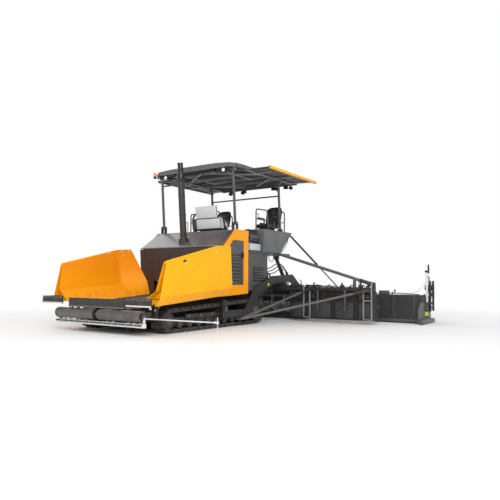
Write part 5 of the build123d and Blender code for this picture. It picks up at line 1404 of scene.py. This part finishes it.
# %% [markdown]
# Long tubes brace the plates against the tractor, with a turnbuckle at one end and pins at both. A
# fitting sits at a share of its tube's length, so it stays on the tube at any slope. The augers are
# put together from short flights, and a clamped collar shows where each sits on the shaft.

# %% Braces and auger collars
UPPER = (spot(1.2, 4.83, 1.712), spot(3.66, 5.06, 0.94))
STRUT = (spot(1.21, 5.37, 2.24), spot(2.78, 5.05, 0.84))
LOW_INNER = (spot(1.318, 2.948, 0.16), spot(1.95, 5.05, 0.81))
LOW_OUTER = (spot(1.322, 3.012, 0.16), spot(3.56, 5.05, 0.81))


def sleeve(ends, start, end, radius, sides, edge):
    """A round sleeve on a brace, between two shares of its length."""
    first, last = ends
    return drum(first + (last - first) * start, first + (last - first) * end, radius, sides, edge)


fittings = [sleeve(STRUT, 0, 0.55, 0.025, 24, 0.004), sleeve(STRUT, 0.55, 0.575, 0.03, 24, 0.004)]
for ends, radius in ((UPPER, 0.038), (LOW_INNER, 0.027), (LOW_OUTER, 0.027)):
    fittings.append(sleeve(ends, 0.86, 0.95, radius * 1.22, 6, 0.003))
    fittings.append(sleeve(ends, 0.955, 0.97, radius * 1.45, 6, 0.003))
    place = ends[0] + (ends[1] - ends[0]) * 0.985
    fittings.append(slab(place - Vector((0.06, 0.018, 0.05)), place + Vector((0.05, 0.018, 0.05)), 0.006))
    fittings.append(drum(place - Vector((0, 0.045, 0)), place + Vector((0, 0.03, 0)), 0.016, 16, 0.002))
fit_pair(fittings, "brace_fittings", black_paint)

AUGER_Y = 5.345
COLLAR_PITCH = 0.18
collars = []
for i in range(18):
    x = 0.34 + COLLAR_PITCH * i
    collars.append(rod("x", (x - 0.035, AUGER_Y, 0.41), x + 0.035, 0.06, 18, 0.004))
    collars += [rod("z", (x, AUGER_Y + s * 0.052, 0.36), 0.46, 0.009, 6) for s in (-1, 1)]
fit_pair(collars, "auger_collars", auger_steel, "auger_SIDE")
print("auger side done")

# %% [markdown]
# The screed hangs on two long arms, each with a round cap on its tow pin and a weld bead along its
# folds. The middle section gets cabinets, a turnbuckle and a ribbed walkway. The walkway's bars
# are blocks and no texture, because their edges catch the light.

# %% Arms and middle section of the screed
TOW_PIN = (2.4, 0.395)
caps = [rod("x", (1.2952, *TOW_PIN), 1.309, 0.056, 28, 0.004)]
pin_ring = [(1.309, TOW_PIN[0] + 0.034 * math.cos(a), TOW_PIN[1] + 0.034 * math.sin(a)) for a in SPOKE_ANGLES]
fit_pair([*caps, bolt_heads(pin_ring, (1, 0, 0), 0.01)], "tow_pin_caps", dark_paint)
ARM_FACE = 1.275
WELD_LINE = ((2.42, 0.22), (3.27, 0.22), (3.49, 0.35), (3.75, 0.68), (4.5, 0.978), (5.3, 1.028))
arm_bolts = [(ARM_FACE, 4.5 + 0.2 * i, 1.06) for i in range(5)] + [(ARM_FACE, 5.8, z) for z in (0.7, 0.8)]
fit_pair(bolt_heads(arm_bolts, (1, 0, 0), 0.015), "arm_bolts", dark_paint, "screed")
louvres = [slab((1.2, 3.66, 1.02 + 0.062 * i), (1.209, 4.22, 1.046 + 0.062 * i)) for i in range(6)]
louvres += slabs(0.002, (1.2, 3.64, 1.0, 1.206, 3.655, 1.4), (1.2, 4.225, 1.0, 1.206, 4.24, 1.4))
fit_pair(louvres, "tank_louvres", glossy_black)
fit_pair(bent_tube([(ARM_FACE, y, z) for y, z in WELD_LINE], 0.007, 8), "arm_welds", black_paint, "screed")
glands = [drum((0.95, 5.444, 1.175), (0.95, 5.464, 1.148), 0.056, 28, 0.005)]
glands += [slab((0.93, y - 0.02, z), (0.97, y + 0.02, z + 0.075), 0.005)
           for y, z in ((5.165, 1.56), (5.41, 1.25))]
fit_pair(glands, "lift_glands", black_paint, "lift_barrels")
TREAD_PITCH = 0.06


def tread(x0, x1, y0, y1, z):
    """Raised bars across a walkway, with a kick edge behind."""
    bars = [slab((x0, y0 + TREAD_PITCH * i, z), (x1, y0 + TREAD_PITCH * i + 0.014, z + 0.005), 0.001)
            for i in range(int((y1 - y0) / TREAD_PITCH))]
    return [*bars, slab((x0, y1 - 0.008, z), (x1, y1, z + 0.035), 0.002)]


fit(tread(-1.49, 1.49, 6.03, 6.755, 0.8), "screed_tread", dark_paint, "screed")
cabinet = slabs(0.012, (-0.62, 6.02, 0.8, 0.1, 6.24, 1.06), (0.2, 6.04, 0.8, 0.66, 6.22, 0.98))
cabinet += [slab((-0.58 + 0.35 * i, 6.236, 0.83), (-0.27 + 0.35 * i, 6.246, 1.03), 0.004) for i in range(2)]
cabinet += [rod("y", (x, 6.24, 0.93), 6.262, 0.012, 16, 0.002) for x in (-0.3, 0.05)]
fit(cabinet, "screed_cabinets", dark_paint, "screed")
turnbuckle = [rod("x", (-x, 5.8, 0.72), x, radius, sides, edge)
              for x, radius, sides, edge in ((0.34, 0.026, 16, 0.003), (0.09, 0.042, 8, 0.004))]
turnbuckle += [slab((s * 0.36 - 0.03, 5.76, 0.638), (s * 0.36 + 0.03, 5.84, 0.76), 0.006) for s in (-1, 1)]
fit(turnbuckle, "crown_turnbuckle", cast_iron, "screed")
print("middle section dressed")

# %% [markdown]
# An extension slides out beside the middle section. It has a tamper guard, rows of bolts, heater
# boxes, a walkway of its own and the cranks that set its slope. All of them ride on the
# extension's body, so they slide in and out with it.

# %% Extensions of the screed
EXT_FACE = 6.03
guard = [slab((1.53, EXT_FACE - 0.009, 0.03), (4.49, EXT_FACE + 0.002, 0.095), 0.002)]
guard += [slab((x, EXT_FACE - 0.008, 0.12), (x + 0.03, EXT_FACE + 0.002, 0.66), 0.002)
          for x in (1.7, 2.4, 3.1, 3.8, 4.3)]
fit_pair(guard, "tamper_guard", dark_paint, "extension_SIDE")
rows = [(1.64 + 0.235 * i, EXT_FACE, z) for i in range(13) for z in (0.135, 0.625)]
fit_pair(bolt_heads(rows, (0, -1, 0), 0.01), "screed_bolts", dark_paint, "extension_SIDE")
fit_pair(tread(1.53, 4.47, 6.555, 7.045, 0.36), "extension_tread", dark_paint, "extension_SIDE")
boxes = slabs(0.01, (2.42, 6.12, 0.69, 2.86, 6.32, 0.83), (3.4, 6.1, 0.69, 3.62, 6.3, 0.79))
boxes += [slab((2.46 + 0.19 * i, 6.112, 0.71), (2.63 + 0.19 * i, 6.122, 0.81)) for i in range(2)]
boxes += [bent_tube([(x, 6.2, z) for x, z in line], 0.011)
          for line in (((2.86, 0.72), (3.05, 0.712), (3.4, 0.72)), ((3.62, 0.72), (4.4, 0.705)))]
fit_pair(boxes, "heater_boxes", dark_paint, "extension_SIDE")


def crank(x, y, low, high):
    """A screw with a bent crank and a round knob on top, and the same screw's guide."""
    return [rod("z", (x, y, low), high, 0.014, 14, 0.002),
            rod("z", (x, y, low), low + 0.6 * (high - low), 0.024, 16, 0.003),
            bent_tube([(x, y, high - 0.004), (x + 0.07, y, high)], 0.009),
            rod("z", (x + 0.07, y, high - 0.01), high + 0.07, 0.0168, 16, 0.006)]


cranks = [*crank(3.78, 6.0, 0.26, 0.76), *crank(2.25, 6.1, 0.69, 0.74)]
cranks += [slab((3.735, 5.985, z), (3.825, EXT_FACE, z + 0.05), 0.006) for z in (0.28, 0.52)]
fit_pair(cranks, "slope_cranks", black_paint, "extension_SIDE")
print("screed dressed")

# %% [markdown]
# An end gate closes each end of the screed. It runs on a round shoe, and a white mast on it holds
# the grip of the steering sensor, with two hoses down to the gate and a pale cable along the screed.

# %% End gates
GATE_X = 4.5003
CRANK_X = GATE_X + 0.016
MAST_X = GATE_X + 0.06
MAST_Y = 6.25
shoe = rod("y", (GATE_X + 0.07, 5.641, 0.0551), 6.759, 0.0548, 36, 0.002)
fit_pair(shoe, "gate_shoe", rail_paint, "extension_SIDE")
mast = [rod("z", (MAST_X, MAST_Y, 0.52), 1.303, 0.0245, 24, 0.003),
        rod("z", (MAST_X, MAST_Y, 0.86), 0.9, 0.031, 24, 0.003)]
fit_pair(mast, "gate_mast", white_plastic, "extension_SIDE")
GRIP = (MAST_X + 0.02, MAST_Y + 0.1)
grip = [bent_tube([(MAST_X, MAST_Y, 1.27), (*GRIP, 1.27)], 0.01),
        rod("z", (*GRIP, 1.22), 1.44, 0.022, 20, 0.008),
        slab((MAST_X - 0.035, MAST_Y - 0.035, 1.245), (MAST_X + 0.035, MAST_Y + 0.035, 1.295), 0.006)]
fit_pair(grip, "gate_grip", glossy_black, "extension_SIDE")
disc = rod("y", (MAST_X - 0.01, MAST_Y - 0.062, 0.235), MAST_Y - 0.03, 0.05, 28, 0.004)
fit_pair(disc, "gate_disc", signal_yellow, "extension_SIDE")
cranks = [*crank(CRANK_X, 5.93, 0.5, 0.66), *crank(CRANK_X, 6.62, 0.5, 0.66)]
cranks += [slab((GATE_X, y - 0.03, 0.505), (GATE_X + 0.032, y + 0.03, 0.54), 0.004) for y in (5.93, 6.62)]
fit_pair(cranks, "gate_cranks", black_paint, "extension_SIDE")
spindles = []
for y in (6.56, 6.84):
    spindles.append(rod("z", (MAST_X, y, 0.28), 1.04, 0.027, 20, 0.004))
    spindles += [rod("z", (MAST_X, y, 0.62 + 0.034 * i), 0.64 + 0.034 * i, 0.034, 20, 0.004)
                 for i in range(11)]
    spindles.append(slab((GATE_X + 0.03, y - 0.03, 0.44), (MAST_X, y + 0.03, 0.5), 0.004))
spindles.append(slab((GATE_X + 0.03, 6.5, 0.455), (GATE_X + 0.04, 6.87, 0.495)))
fit_pair(spindles, "gate_spindles", flap_rubber, "extension_SIDE")
console = [slab((4.32, 6.93, 0.8), (4.52, 7.03, 0.92), 0.01),
           slab((4.34, 6.926, 0.82), (4.5, 6.934, 0.9), 0.002),
           bent_tube([(4.42, 6.98, 0.362), (4.42, 6.98, 0.81)], 0.014, 12),
           slab((4.38, 6.94, 0.36), (4.46, 7.02, 0.372))]
fit_pair(console, "screed_console", console_plastic, "extension_SIDE")

cable_sheath = rubber("pale cable sheath", (0.55, 0.5, 0.5), 0.5, 300, 0.1)
spans = []
for side, s in SIDES:
    body = f"extension_{side}"
    for i in range(2):
        x = s * (MAST_X - 0.012 + 0.024 * i)
        back = MAST_Y + 0.2 + 0.03 * i
        route = [(x, MAST_Y + 0.0225, 1.19 - 0.05 * i), (x, back, 1.21 - 0.05 * i), (x, back, 0.95),
                 (x, back - 0.03, 0.74), (s * CRANK_X, MAST_Y + 0.11 + 0.06 * i, 0.5205)]
        spans.append(free_cord(f"gate_hose_{i + 1}_{side}", route, 0.008, hose_rubber, body))
    line = ((3.7, 6.26, 0.6905), (3.71, 6.26, 0.76), (4.05, 6.27, 0.72), (4.36, 6.26, 0.74),
            (MAST_X - 0.025, MAST_Y, 1.0))
    route = [(s * x, y, z) for x, y, z in line]
    spans.append(free_cord(f"sensor_cable_{side}", route, 0.006, cable_sheath, body))
print("cord lengths:", [round(v, 3) for v in spans])

# %% [markdown]
# The machine stands in a white studio: a pale floor that fades to white, one broad lamp from the
# front left and even light from all around. The light stays at a level where a colour looks as it
# was written, and the white comes from the floor's own colour.

# %% Stage
FLOOR_SIZE = 120
FLOOR_FADE = (5.0, 12.0)
bpy.ops.mesh.primitive_plane_add(size=FLOOR_SIZE, location=(0, 0, 0))
floor = bpy.context.object
floor.name = "studio_floor"
floor_finish = Finish("studio floor")
floor_finish.set("Base Color", (0.93, 0.93, 0.93))
floor_finish.set("Roughness", 0.9)
distance = floor_finish.node("ShaderNodeVectorMath", {"operation": "LENGTH"}, {0: floor_finish.place},
                             out="Value")
rays = floor_finish.tree.nodes.new("ShaderNodeLightPath")
seen = floor_finish.node("ShaderNodeMath", {"operation": "MAXIMUM"},
                         {0: Wire(floor_finish, rays.outputs["Is Camera Ray"]),
                          1: Wire(floor_finish, rays.outputs["Is Glossy Ray"])})
white = floor_finish.node("ShaderNodeEmission", {}, {"Color": (1, 1, 1), "Strength": 1.0})
blend_node = floor_finish.tree.nodes.new("ShaderNodeMixShader")
floor_finish.put(blend_node.inputs[0], seen * distance.ramp(*FLOOR_FADE))
floor_finish.tree.links.new(floor_finish.shader.outputs[0], blend_node.inputs[1])
floor_finish.tree.links.new(white.socket, blend_node.inputs[2])
floor_finish.tree.links.new(blend_node.outputs[0], floor_finish.tree.nodes["Material Output"].inputs[0])
cover(floor, floor_finish.material)

world = bpy.data.worlds.new("studio")
bpy.context.scene.world = world
world.use_nodes = True
sky = world.node_tree.nodes["Background"]
sky.inputs["Color"].default_value = (1, 1, 1, 1)
SKY_LIGHT = 0.78
world_rays = world.node_tree.nodes.new("ShaderNodeLightPath")
world_sum = world.node_tree.nodes.new("ShaderNodeMath")
world_sum.operation = "MULTIPLY_ADD"
world_sum.inputs[1].default_value = 1 - SKY_LIGHT
world_sum.inputs[2].default_value = SKY_LIGHT
world.node_tree.links.new(world_rays.outputs["Is Camera Ray"], world_sum.inputs[0])
world.node_tree.links.new(world_sum.outputs[0], sky.inputs["Strength"])

KEY_LAMPS = (
    ("key", (9, -10, 7), (0, 0, 1), 8.0, 900),
    ("rim", (-10, 4, 8), (0, 0, 1), 7.0, 260),
)
for name, place, target, size, power in KEY_LAMPS:
    lamp_data = bpy.data.lights.new(name, "AREA")
    lamp_data.size = size
    lamp_data.energy = power
    lamp = bpy.data.objects.new(name, lamp_data)
    bpy.context.collection.objects.link(lamp)
    lamp.location = place
    lamp.rotation_euler = (Vector(target) - Vector(place)).to_track_quat("-Z", "Y").to_euler()
bpy.context.scene.view_settings.view_transform = "Standard"
print("stage set")
